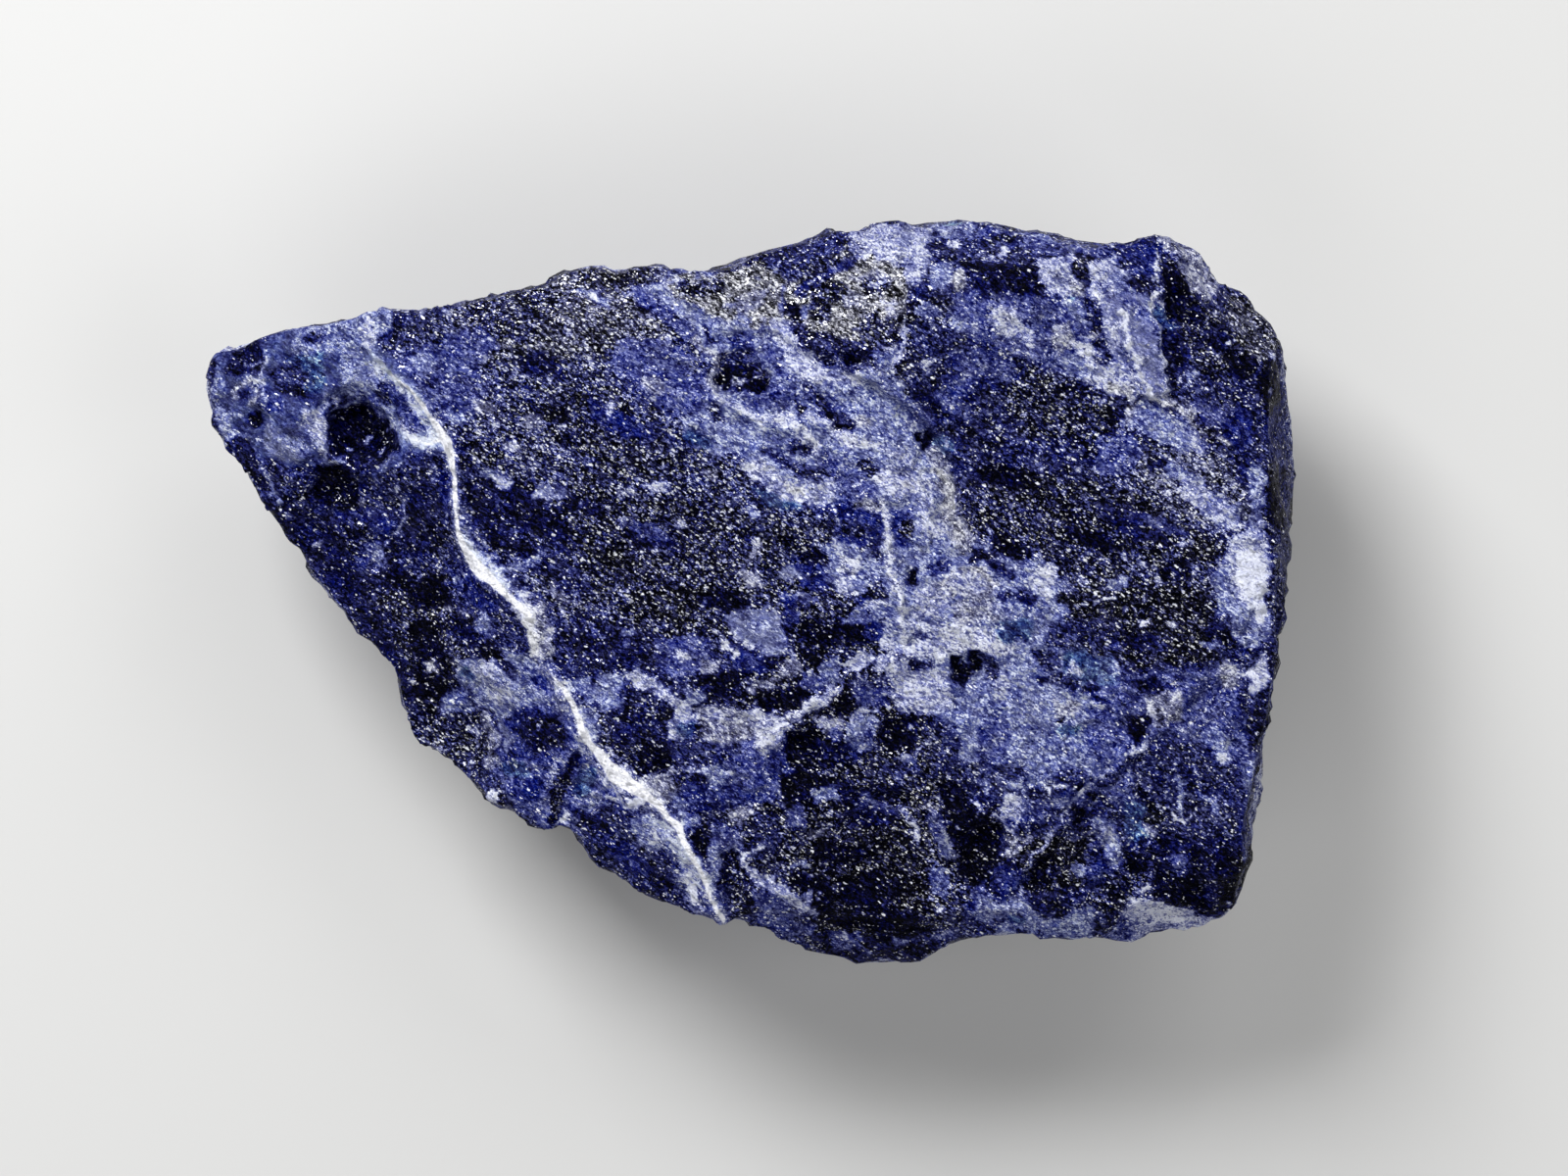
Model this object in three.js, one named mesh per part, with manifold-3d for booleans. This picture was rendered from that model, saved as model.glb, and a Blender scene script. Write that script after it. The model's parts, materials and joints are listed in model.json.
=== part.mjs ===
// A rough piece of sodalite: one broken block of blue stone, lying on its back.
//
// Frame: millimetres, +Z up. X runs along the stone, from its pointed end (-X) to its blunt end (+X), and Y across
// it. The broad broken face looks up. The origin is under the middle of the stone, on the surface it rests on.
//
// The block starts as a loft through slices of the stone's outline, 111.6 long and 76 across. Flat breaks
// (half-spaces) and shelly hollows (large balls) are then taken off it, as a rock breaks, down to some 30 thick,
// and the last break is the flat spot that it rests on.

import * as THREE from "three";
import { mergeVertices } from "three/addons/utils/BufferGeometryUtils.js";
import Module from "manifold-3d";

const wasm = await Module();
wasm.setup();

// ---- Driving dimensions ----------------------------------------------------------------------------------------

const CUTTER = 400; // side of the block that stands for a half-space, well over the stone's length
const BALL_EDGE = 4; // the longest edge of a ball's triangles, near enough
const BLUE = 0x2e3478; // the stone's colour, all over
const ROUGHNESS = 0.55;

// The stone seen from above, anticlockwise from the tip of the pointed end, as [x, y].
const OUTLINE = [
  // the long broken edge from the tip down to the near corner
  [-55.8, 22.2], [-55.4, 17.4], [-53.6, 14.4], [-50.2, 10.1], [-47.3, 5.8], [-45.0, 2.2], [-43.2, 0.4],
  [-40.4, -3.7], [-37.0, -7.4], [-36.3, -9.9], [-35.1, -13.9], [-34.2, -15.4],
  // the chipped near edge
  [-32.4, -16.1], [-29.2, -18.5], [-27.0, -20.9], [-24.6, -21.6], [-22.9, -23.5], [-21.4, -24.0],
  [-20.0, -23.6], [-19.0, -24.0], [-16.0, -27.7], [-10.8, -30.5], [-6.5, -32.3], [-3.3, -33.0],
  [-1.5, -32.8], [3.2, -35.4], [6.8, -36.9], [8.0, -37.7], [10.4, -38.0], [16.7, -37.3],
  [18.0, -36.5], [21.5, -35.1], [24.0, -34.5], [28.4, -34.4], [29.8, -35.1], [31.0, -34.9],
  [32.4, -35.3], [34.2, -34.7], [38.8, -35.4], [41.5, -34.6], [44.2, -34.4], [48.8, -32.5],
  // the blunt end
  [49.7, -31.5], [50.9, -27.2], [50.5, -23.6], [51.6, -20.2], [51.8, -14.2], [53.0, -7.4],
  [53.8, -1.6], [54.6, 3.0], [55.0, 6.2], [55.6, 7.8], [55.8, 11.6], [55.7, 14.8],
  [54.6, 19.4], [53.8, 25.1], [53.0, 26.8], [51.4, 28.4], [50.2, 30.3], [49.2, 31.1],
  [47.4, 31.7], [45.2, 34.6], [43.4, 35.1], [41.4, 36.0],
  // the far edge, back to the tip
  [39.8, 35.9], [38.0, 35.3], [37.0, 35.6], [34.8, 35.3], [32.0, 36.1], [28.6, 37.1],
  [26.4, 37.0], [24.8, 37.6], [22.2, 38.0], [14.5, 37.3], [9.1, 36.1], [7.6, 36.8],
  [3.8, 35.4], [1.0, 34.6], [-2.5, 33.3], [-5.5, 32.8], [-9.8, 33.0], [-13.0, 32.7],
  [-16.5, 32.9], [-19.5, 32.5], [-21.5, 31.4], [-28.8, 29.7], [-32.2, 28.7], [-39.5, 28.2],
  [-46.2, 26.7], [-49.8, 26.4], [-55.0, 24.3],
].map(([x, y]) => new THREE.Vector2(x, y));

// The slices of the loft, from below. The stone is widest at the middle two, which keep every notch of the outline.
// The lowest is drawn in and its notches fade, as rounds of smoothing.
const SLICES = [
  { z: -3, scale: 0.93, rounds: 12 },
  { z: 13, scale: 1, rounds: 0 },
  { z: 20, scale: 1, rounds: 0 },
  { z: 36, scale: 0.985, rounds: 0 },
];

// Flat breaks. Each passes through the point at and falls away by dip degrees from level, towards a compass
// direction in degrees anticlockwise from +X. A dip over 90 faces down.
const BREAKS = [
  // the broad face
  { name: "left plate", at: [-17, 13.6, 28.5], dip: 3, towards: 200 },
  { name: "right plate", at: [29, 14.6, 28.8], dip: 5, towards: 350 },
  { name: "lower face", at: [15, -15, 27.5], dip: 9, towards: 275 },
  { name: "slope below the vein", at: [-26, 0, 27.2], dip: 22, towards: 213 },
  { name: "pointed end", at: [-42, 20, 25.5], dip: 16, towards: 175 },
  { name: "near left chip", at: [-12, -26, 24.5], dip: 32, towards: 238 },
  { name: "near bevel", at: [12, -33, 23.5], dip: 40, towards: 268 },
  { name: "near right bevel", at: [41, -31.5, 23.5], dip: 44, towards: 283 },
  { name: "far bevel", at: [13, 35, 27], dip: 38, towards: 92 },
  { name: "far left bevel", at: [-17, 31, 26.8], dip: 30, towards: 98 },
  // the blunt end and its corner
  { name: "end wall", at: [52.5, 8, 25.5], dip: 73, towards: 2 },
  { name: "lower end wall", at: [51, -18, 24.5], dip: 80, towards: 350 },
  { name: "dark corner", at: [44, 25, 26.5], dip: 24, towards: 35 },
  { name: "grey corner", at: [50, 27.5, 22.5], dip: 48, towards: 42 },
  { name: "far corner", at: [44.5, 32.5, 24], dip: 42, towards: 62 },
  // the walls, which lean in below the edge of the broad face
  { name: "long wall", at: [-45.2, 1.2, 20], dip: 107, towards: 213 },
  { name: "near left wall", at: [-32.5, -17.3, 18], dip: 121, towards: 225 },
  { name: "near chipped wall", at: [-10.8, -30.6, 19], dip: 108, towards: 243 },
  { name: "near middle wall", at: [2, -35.9, 20], dip: 116, towards: 252 },
  { name: "near corner wall", at: [14, -38.1, 18], dip: 109, towards: 270 },
  { name: "near right wall", at: [42, -35.1, 19], dip: 104, towards: 284 },
  { name: "blunt wall", at: [54, -4, 14], dip: 103, towards: 353 },
  { name: "blunt corner wall", at: [54, 25, 13], dip: 112, towards: 19 },
  { name: "far corner wall", at: [46.5, 33.9, 16], dip: 119, towards: 58 },
  { name: "far right wall", at: [24, 38, 19], dip: 101, towards: 87 },
  { name: "far middle wall", at: [-6, 34.8, 21], dip: 113, towards: 99 },
  { name: "far left wall", at: [-40, 28.7, 18], dip: 106, towards: 102 },
  { name: "tip wall", at: [-55.8, 21, 17], dip: 124, towards: 176 },
  // the underside
  { name: "under the pointed end", at: [-13, 8, 0], dip: 163, towards: 178 },
  { name: "under the blunt end", at: [27, 2, 0], dip: 166, towards: 8 },
  { name: "under the far edge", at: [6, 15, 0], dip: 159, towards: 84 },
  { name: "under the near edge", at: [10, -11.5, 0], dip: 157, towards: 272 },
  { name: "under the near left", at: [-13, -7, 0], dip: 152, towards: 218 },
  { name: "under the far right", at: [30, 13, 0.4], dip: 149, towards: 47 },
  { name: "under the near right", at: [29, -12, 0.4], dip: 150, towards: 314 },
  { name: "under the far left", at: [-9, 14, 0.2], dip: 155, towards: 116 },
];

// Shelly hollows: a ball takes a dish of that width and depth out of the surface at that point, square to a
// break's dip and direction there.
const HOLLOWS = [
  { name: "right plate shell", at: [28, 14, 28.9], dip: 5, towards: 350, width: 30, depth: 1.5 },
  { name: "far middle shell", at: [3, 29, 29.2], dip: 12, towards: 95, width: 24, depth: 1.6 },
  { name: "near middle shell", at: [13, -27, 25.6], dip: 12, towards: 275, width: 19, depth: 1.3 },
  { name: "near right shell", at: [37, -25, 25.6], dip: 10, towards: 300, width: 17, depth: 1.1 },
  { name: "below the vein", at: [-38, 2, 23], dip: 24, towards: 213, width: 20, depth: 0.9 },
  { name: "dark pit", at: [-40.5, 16.6, 25.2], dip: 14, towards: 190, width: 9, depth: 1.5 },
  { name: "near left notch", at: [-30, -12, 22.6], dip: 30, towards: 225, width: 13, depth: 1.2 },
  // the walls
  { name: "long wall shell", at: [-41.8, 2.2, 9], dip: 112, towards: 214, width: 19, depth: 1.5 },
  { name: "near wall shell", at: [-9, -27.4, 8.5], dip: 118, towards: 246, width: 19, depth: 1.6 },
  { name: "near corner shell", at: [16, -34.4, 9], dip: 116, towards: 268, width: 16, depth: 1.2 },
  { name: "near right wall shell", at: [38, -32.2, 8], dip: 112, towards: 280, width: 17, depth: 1.4 },
  { name: "blunt wall shell", at: [52, -11, 7.5], dip: 108, towards: 350, width: 18, depth: 1.4 },
  { name: "far wall shell", at: [27, 35.4, 8], dip: 110, towards: 86, width: 20, depth: 1.6 },
  { name: "far left wall shell", at: [-14, 28.9, 12], dip: 116, towards: 101, width: 18, depth: 1.3 },
  // the underside
  { name: "under shell left", at: [-34, 9, 6.4], dip: 163, towards: 180, width: 24, depth: 1.4 },
  { name: "under shell near", at: [15, -25, 5.7], dip: 157, towards: 270, width: 21, depth: 1.3 },
  { name: "under shell right", at: [43, 6, 4], dip: 166, towards: 10, width: 19, depth: 1.2 },
];

// The spot that the stone rests on faces straight down
const RESTING_SPOT = { at: [0, 0, 0], dip: 180, towards: 0 };

// ---- Shapes ----------------------------------------------------------------------------------------------------

// Which way a break faces
function facing({ dip, towards }) {
  const tilt = THREE.MathUtils.degToRad(dip);
  const compass = THREE.MathUtils.degToRad(towards);
  return new THREE.Vector3(
    Math.sin(tilt) * Math.cos(compass),
    Math.sin(tilt) * Math.sin(compass),
    Math.cos(tilt),
  );
}

// A closed loop with each point moved halfway to the middle of its neighbours, rounds times over
function smoothed(loop, rounds) {
  let points = loop.map((p) => p.clone());
  for (let round = 0; round < rounds; round++)
    points = points.map((p, i) => {
      const before = points.at(i - 1);
      const after = points[(i + 1) % points.length];
      return before.clone().add(after).multiplyScalar(0.5).add(p).multiplyScalar(0.5);
    });
  return points;
}

// The closed body that passes through every slice
function loft(outline, slices) {
  const count = outline.length;
  const rings = slices.map(({ scale, rounds }) =>
    smoothed(outline, rounds).map((p) => p.multiplyScalar(scale)),
  );
  const positions = rings.flatMap((ring, k) => ring.flatMap((p) => [p.x, p.y, slices[k].z]));
  const faces = [];
  for (let k = 0; k + 1 < rings.length; k++)
    for (let i = 0; i < count; i++) {
      const [low, lowNext] = [k * count + i, k * count + ((i + 1) % count)];
      const [high, highNext] = [low + count, lowNext + count];
      faces.push(low, lowNext, highNext, low, highNext, high);
    }
  const lid = (k, flip) =>
    THREE.ShapeUtils.triangulateShape(rings[k], []).forEach((face) => {
      const [a, b, c] = face.map((i) => i + k * count);
      faces.push(...(flip ? [c, b, a] : [a, b, c]));
    });
  lid(0, true);
  lid(rings.length - 1, false);
  const geometry = new THREE.BufferGeometry();
  geometry.setAttribute("position", new THREE.Float32BufferAttribute(positions, 3));
  return geometry.setIndex(faces);
}

// The block on the far side of a break
function halfSpace(cut) {
  const out = facing(cut);
  const turn = new THREE.Quaternion().setFromUnitVectors(new THREE.Vector3(0, 0, 1), out);
  const middle = new THREE.Vector3(...cut.at).addScaledVector(out, CUTTER / 2);
  const place = new THREE.Matrix4().compose(middle, turn, new THREE.Vector3(1, 1, 1));
  return new THREE.BoxGeometry(CUTTER, CUTTER, CUTTER).applyMatrix4(place);
}

// The ball whose cap is the hollow: a cap of that width and depth is cut by a ball of this radius
function ball(hollow) {
  const { width, depth, at } = hollow;
  const radius = ((width / 2) ** 2 + depth ** 2) / (2 * depth);
  const middle = new THREE.Vector3(...at).addScaledVector(facing(hollow), radius - depth);
  const detail = Math.round(radius / BALL_EDGE);
  return new THREE.IcosahedronGeometry(radius, detail).translate(middle.x, middle.y, middle.z);
}

// ---- Booleans --------------------------------------------------------------------------------------------------

// A closed geometry as a manifold-3d solid
function solidOf(geometry) {
  const bare = geometry.clone();
  bare.deleteAttribute("normal");
  bare.deleteAttribute("uv");
  const merged = mergeVertices(bare);
  return new wasm.Manifold(
    new wasm.Mesh({
      numProp: 3,
      vertProperties: merged.attributes.position.array,
      triVerts: new Uint32Array(merged.index.array),
    }),
  );
}

function geometryOf(solid) {
  const { vertProperties, triVerts } = solid.getMesh();
  const geometry = new THREE.BufferGeometry();
  geometry.setAttribute("position", new THREE.BufferAttribute(vertProperties, 3));
  geometry.setIndex(new THREE.BufferAttribute(triVerts, 1));
  return geometry;
}

// ---- The stone -------------------------------------------------------------------------------------------------

function brokenBlock() {
  const block = solidOf(loft(OUTLINE, SLICES));
  const cutters = [...BREAKS.map(halfSpace), ...HOLLOWS.map(ball), halfSpace(RESTING_SPOT)];
  return cutters.reduce((stone, cutter) => stone.subtract(solidOf(cutter)), block);
}

const geometry = geometryOf(brokenBlock());
geometry.computeVertexNormals();

const stone = new THREE.Mesh(
  geometry,
  new THREE.MeshStandardMaterial({ color: BLUE, roughness: ROUGHNESS, metalness: 0 }),
);
stone.name = "sodalite";

const part = new THREE.Group();
part.add(stone);

export default part;
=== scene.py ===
"""Rough sodalite: a broken block of blue rock with white veins, lying on a pale floor under soft light.

Markings and relief are drawn in millimetres, seen from above: +X from the pointed end to the
blunt end, +Y across the stone. They are worked out at each point of a fine mesh, and kept there as
attributes that the stone's finish reads.
"""

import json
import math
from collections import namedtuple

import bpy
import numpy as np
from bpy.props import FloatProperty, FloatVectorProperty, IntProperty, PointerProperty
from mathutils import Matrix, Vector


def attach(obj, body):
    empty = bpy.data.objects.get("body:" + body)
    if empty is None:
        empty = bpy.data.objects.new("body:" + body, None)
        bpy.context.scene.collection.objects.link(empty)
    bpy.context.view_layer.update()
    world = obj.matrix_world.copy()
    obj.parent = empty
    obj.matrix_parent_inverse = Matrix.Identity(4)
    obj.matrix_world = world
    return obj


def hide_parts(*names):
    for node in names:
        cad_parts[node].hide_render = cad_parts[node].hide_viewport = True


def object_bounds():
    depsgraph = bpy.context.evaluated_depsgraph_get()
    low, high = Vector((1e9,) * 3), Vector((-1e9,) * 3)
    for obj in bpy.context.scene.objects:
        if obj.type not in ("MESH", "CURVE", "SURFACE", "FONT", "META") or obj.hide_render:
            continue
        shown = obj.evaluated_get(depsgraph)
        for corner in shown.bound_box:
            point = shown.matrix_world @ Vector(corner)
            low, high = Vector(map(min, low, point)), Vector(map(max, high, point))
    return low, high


bl_info = {
    "name": "Rough sodalite",
    "version": (1, 0, 0),
    "blender": (4, 5, 0),
    "location": "3D View > Sidebar > Sodalite",
    "description": "Makes a broken block of blue sodalite with white veins, and a plain stage for it",
    "category": "Add Mesh",
}

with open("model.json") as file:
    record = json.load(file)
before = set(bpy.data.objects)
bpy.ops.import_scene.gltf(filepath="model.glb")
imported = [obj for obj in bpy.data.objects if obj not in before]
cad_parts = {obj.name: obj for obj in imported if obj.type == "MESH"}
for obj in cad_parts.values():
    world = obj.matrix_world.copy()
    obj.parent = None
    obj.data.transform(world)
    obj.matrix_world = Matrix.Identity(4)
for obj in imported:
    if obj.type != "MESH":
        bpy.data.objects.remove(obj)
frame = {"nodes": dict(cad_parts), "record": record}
CAD_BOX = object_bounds()

MM = 0.001
STONE_NODE = frame["record"]["subparts"][0]["node"]
TALL = CAD_BOX[1].z / MM

# In millimetres: the level where the markings are at full size, and the eye that they are drawn for, which
# is EYE_UP above that level.
EYE_X, EYE_Y, EYE_UP, LEVEL = 3.0, 0.6, 600.0, 22.0

# Further than anything is from anything else on the stone, in millimetres.
FAR = 99.0


# ---------------- colours and sizes that a user may change


def srgb(red, green, blue):
    """A colour given as screen values from 0 to 255, as the linear values that shaders use."""
    parts = [v / 255 for v in (red, green, blue)]
    return tuple(v / 12.92 if v <= 0.04045 else ((v + 0.055) / 1.055) ** 2.4 for v in parts)


def colour_prop(name, description, default):
    """A colour setting."""
    return FloatVectorProperty(
        name=name, description=description, default=default, subtype="COLOR", size=3, min=0, max=1
    )


def length_prop(name, description, default_mm):
    """A length setting, given in millimetres and kept in metres."""
    return FloatProperty(
        name=name, description=description, default=default_mm * MM, subtype="DISTANCE", unit="LENGTH",
        precision=5,
    )


def power_prop(name, description, default):
    """The power of a light, in watts."""
    return FloatProperty(
        name=name, description=description, default=default, subtype="POWER", unit="POWER"
    )


class StoneShape(bpy.types.PropertyGroup):
    """Sizes of the stone's mesh and of its broken surface."""

    grid: length_prop("Grid", "Spacing of the points of the fine mesh", 0.30)
    triangles: IntProperty(
        name="Triangles", description="Most triangles in the finished mesh", default=198000
    )
    swell: length_prop("Swell", "Height of the broad unevenness", 0.60)
    chip: length_prop("Chip", "Depth of the small chips between sharp crests", 0.42)
    facet: length_prop("Facet", "Height of the tilted cleavage facets", 0.30)
    ledge: length_prop("Ledge", "Height of the curved ledges of the broken ground", 0.40)
    stria: length_prop("Stria", "Height of the fine parallel ridges on the plates", 0.07)
    tooth: length_prop("Tooth", "Height of the finest roughness", 0.07)
    seed: IntProperty(name="Seed", description="Number that sets every random choice", default=11)


class StoneColours(bpy.types.PropertyGroup):
    """Colours of the rock, from its darkest grains to its veins."""

    black: colour_prop("Black", "Deepest, clear dark grains", srgb(0, 0, 7))
    ink: colour_prop("Ink", "Dark navy", srgb(5, 6, 36))
    navy: colour_prop("Navy", "Navy of the plates", srgb(19, 21, 80))
    slate: colour_prop("Slate", "Middle blue", srgb(43, 48, 114))
    haze: colour_prop("Haze", "Paler, cloudy blue", srgb(80, 87, 147))
    lavender: colour_prop("Lavender", "Pale lavender of the bands", srgb(127, 134, 189))
    frost: colour_prop("Frost", "Near-white of crushed grains", srgb(218, 222, 240))
    teal: colour_prop("Teal", "Greenish blue tint of some grains", srgb(165, 228, 232))
    vein: colour_prop("Vein", "White of the main vein", srgb(246, 247, 255))
    # The fleck colour paints the bright grains: white grains, and glints painted in as well.
    fleck: colour_prop("Fleck", "Bright grains", srgb(244, 246, 252))


class StageSettings(bpy.types.PropertyGroup):
    """Floor, light and camera."""

    floor: colour_prop("Floor", "Colour of the floor", (0.56, 0.56, 0.555))
    key: power_prop("Key", "Power of the key light", 9.0)
    fill: power_prop("Fill", "Power of each fill light", 2.4)
    room: FloatProperty(name="Room", description="Strength of the light from all round", default=0.08)
    view_width: length_prop("View width", "Width of what the camera sees at the markings' level", 160.0)


# ---------------- noise


# The corners of a cell of the noise, and the cell with its neighbours.
CORNERS = np.array([(i, j, k) for i in (0, 1) for j in (0, 1) for k in (0, 1)])
AROUND = np.array([(i, j, k) for i in (-1, 0, 1) for j in (-1, 0, 1) for k in (-1, 0, 1)])

# Large odd numbers that scatter neighbouring cells and seeds.
CELL_SCATTER = (73856093, 19349663, 83492791)
SEED_SCATTER = 40503
FIRST_MIX = np.uint64(0x9E3779B97F4A7C15)
SECOND_MIX = np.uint64(0xBF58476D1CE4E5B9)


def smooth(low, high, value):
    """Smooth step from 0 at low to 1 at high."""
    t = np.clip((value - low) / (high - low), 0, 1)
    return t * t * (3 - 2 * t)


def hashed(cells, seed):
    """Three repeatable numbers from 0 to 1 for each cell of a grid."""
    mixed = (cells * CELL_SCATTER).sum(-1) + seed * SEED_SCATTER
    mixed = mixed.astype(np.uint64)
    found = []
    for _ in range(3):
        mixed = (mixed ^ (mixed >> np.uint64(31))) * FIRST_MIX
        mixed = (mixed ^ (mixed >> np.uint64(29))) * SECOND_MIX
        found.append((mixed >> np.uint64(40)).astype(float) / 2**24)
    return np.stack(found, -1)


def noise(points, seed):
    """Smooth noise from about -1 to 1, with features about one unit across."""
    cell = np.floor(points).astype(np.int64)
    part = points - cell
    ease = part**3 * (part * (part * 6 - 15) + 10)
    total = np.zeros(len(points))
    for corner in CORNERS:
        slope = hashed(cell + corner, seed) * 2 - 1
        share = np.where(corner, ease, 1 - ease).prod(-1)
        total += share * ((part - corner) * slope).sum(-1)
    # brings the range to about -1 to 1
    return total * 1.5


def layered(points, seed, layers=4, fade=0.5):
    """Noise in layers, each half the size of the one before and fade times as strong."""
    return sum(noise(points * 2**i, seed + i) * fade**i for i in range(layers))


def chips(points, seed):
    """Shallow dishes that meet in sharp crests: 0 at the bottom of a dish, about 0.6 at a crest."""
    cell = np.floor(points).astype(np.int64)
    best = np.full(len(points), FAR)
    for step in AROUND:
        near = hashed(cell + step, seed)
        gap = points - (cell + step + near)
        best = np.minimum(best, (gap**2).sum(-1) + 0.25 * near[:, 0])
    return best


def facets(points, seed):
    """Flat faces tilted at random, which meet in steps and creases: about -0.5 to 0.5."""
    cell = np.floor(points).astype(np.int64)
    best = np.full(len(points), -FAR)
    for step in AROUND:
        near = hashed(cell + step, seed)
        gap = points - (cell + step + near)
        tilt = hashed(cell + step, seed + 1) * 2 - 1
        best = np.maximum(best, (gap * tilt).sum(-1) * 0.8 - (gap**2).sum(-1) * 0.9)
    return best + 0.2


def ledges(points, seed):
    """Curved ledges as glass breaks with: each rises slowly and drops at once, from -0.5 to 0.5."""
    field = layered(points, seed, 3, 0.45) * 3
    return field - np.floor(field) - 0.5


def turned(points, degrees, stretch):
    """Points turned about +Z, so that a direction at that angle lies along X, and squeezed along it."""
    c, s = math.cos(math.radians(degrees)), math.sin(math.radians(degrees))
    along = points[:, 0] * c + points[:, 1] * s
    across = points[:, 1] * c - points[:, 0] * s
    return np.stack([along / stretch, across, points[:, 2]], -1)


class Feature(namedtuple("Feature", "size start degrees stretch", defaults=(0, 1))):
    """Features that repeat over the stone: their size in millimetres and what is added to the stone's seed.

    Where they are drawn out, they also have a direction in degrees and a stretch.
    """

    def over(self, points, seed):
        """What a noise function takes to make this feature at each point."""
        return turned(points, self.degrees, self.stretch) / self.size, seed + self.start


# How far the marks' edges wander, in long waves and in short ones.
WAVE_X, WAVE_Y, FRAY_X, FRAY_Y = Feature(3.2, 0), Feature(3.2, 3), Feature(1.1, 7), Feature(1.1, 9)

# The relief.
SWELL = Feature(11, 20)
ROUGH = Feature(14, 21)
CHIP, SMALL_CHIP = Feature(3.4, 22), Feature(1.7, 23)
FACET, SMALL_FACET = Feature(2.6, 24, 35, 1.5), Feature(1.3, 26)
STRIA = Feature(1.1, 28, -32, 6)
TOOTH = Feature(0.9, 29)
LEDGE = Feature(7, 32, -35, 1.4)

# The tones of the ground where nothing is drawn.
CLOUD, WISP, POCKET = Feature(7, 40, -35, 1.8), Feature(6, 45, -40, 2.2), Feature(5, 46)
GREYING, TEALING = Feature(8, 50), Feature(6, 51)

# The marks' ragged edges, and how thinly they are laid on.
SHRED, CRUMB, VEIL = Feature(0.8, 55), Feature(1.3, 56), Feature(2.4, 57)

# How far the veins and their edges wander.
VEIN_X, VEIN_Y, VEIN_EDGE = Feature(2.4, 60), Feature(2.4, 61), Feature(1.8, 62)


# ---------------- marks drawn on the stone, in millimetres


Mark = namedtuple("Mark", "finish cover")


def distance_to_line(x, y, points):
    """Distance to a line through the points, less the line's half width there where a point gives one."""
    best = np.full(x.shape, FAR)
    for start, end in zip(points, points[1:]):
        along_x, along_y = end[0] - start[0], end[1] - start[1]
        share = ((x - start[0]) * along_x + (y - start[1]) * along_y) / (along_x**2 + along_y**2)
        share = np.clip(share, 0, 1)
        gap = np.hypot(x - start[0] - share * along_x, y - start[1] - share * along_y)
        if len(start) > 2:
            gap = gap - (start[2] + share * (end[2] - start[2]))
        best = np.minimum(best, gap)
    return best


def inside(x, y, points):
    """Whether each place lies inside the closed outline."""
    found = np.zeros(x.shape, bool)
    for (ax, ay), (bx, by) in zip(points, points[1:] + points[:1]):
        if ay == by:
            continue
        crossing = ((ay > y) != (by > y)) & (x < (bx - ax) * (y - ay) / (by - ay) + ax)
        found ^= crossing
    return found


def spot(finish, x, y, long, wide=None, turn=0, soft=0.35):
    """A round or oval spot, whose edge fades over soft of its size.

    Its half length lies along turn, in degrees from +X, and its half width across it.
    """
    wide = wide or long
    c, s = math.cos(math.radians(turn)), math.sin(math.radians(turn))

    def cover(px, py):
        u = ((px - x) * c + (py - y) * s) / long
        v = ((py - y) * c - (px - x) * s) / wide
        return smooth(1 + soft, 1 - soft, np.hypot(u, v))

    return Mark(finish, cover)


def spots(finish, *ovals, soft=0.35):
    """Spots of one finish: each oval has the numbers that a spot takes."""
    return [spot(finish, *oval, soft=soft) for oval in ovals]


def band(finish, half_width, *points, soft=0.3):
    """A line of one half width through the points, with edges that fade over soft millimetres."""
    return Mark(finish, lambda px, py: smooth(soft, -soft, distance_to_line(px, py, points) - half_width))


def patch(finish, *points, soft=0.4):
    """An area with straight sides through the points, with edges that fade over soft millimetres."""
    points = list(points)

    def cover(px, py):
        gap = distance_to_line(px, py, points + points[:1])
        return smooth(0.9 * soft, -0.9 * soft, np.where(inside(px, py, points), -gap, gap))

    return Mark(finish, cover)


# Each finish: tone from black (0) to white (1), greyness, share of bright grains (white grains and painted
# glints), cloudiness, teal tint.
Finish = namedtuple("Finish", "tone grey fleck cloud teal")
FINISHES = {
    "black": Finish(-0.04, 0.0, 0.30, 0.4, 0.0),
    "peppered": Finish(0.0, 0.05, 1.0, 0.8, 0.0),
    "coal": Finish(-0.12, 0.2, 0.85, 0.8, 0.0),
    "ink": Finish(0.10, 0.0, 0.35, 0.6, 0.0),
    "navy": Finish(0.20, 0.0, 0.55, 0.7, 0.0),
    "plate": Finish(0.17, 0.0, 1.0, 1.0, 0.0),
    "royal": Finish(0.31, -0.12, 0.30, 0.65, 0.0),
    "blue": Finish(0.46, -0.06, 0.33, 0.6, 0.0),
    "teal": Finish(0.42, 0.0, 0.25, 1.0, 0.9),
    "mist": Finish(0.45, 0.05, 0.04, 0.5, 0.25),
    "slate": Finish(0.62, 0.15, 0.05, 0.4, 0.1),
    "ash": Finish(0.56, 0.35, 0.45, 0.9, 0.0),
    "haze": Finish(0.63, 0.0, 0.26, 0.5, 0.1),
    "pale": Finish(0.76, 0.05, 0.28, 0.5, 0.0),
    "satin": Finish(0.63, 0.10, 0.02, 0.35, 0.0),
    "frost": Finish(0.88, 0.15, 0.50, 0.9, 0.0),
    "white": Finish(0.98, 0.05, 0.10, 0.4, 0.0),
    "grey": Finish(0.32, 0.8, 0.95, 1.1, 0.0),
    "beige": Finish(0.66, 0.7, 0.50, 0.9, 0.0),
    "sand": Finish(0.27, 0.22, 1.0, 0.8, 0.0),
    "silver": Finish(0.14, 0.35, 1.0, 0.9, 0.0),
}

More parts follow.
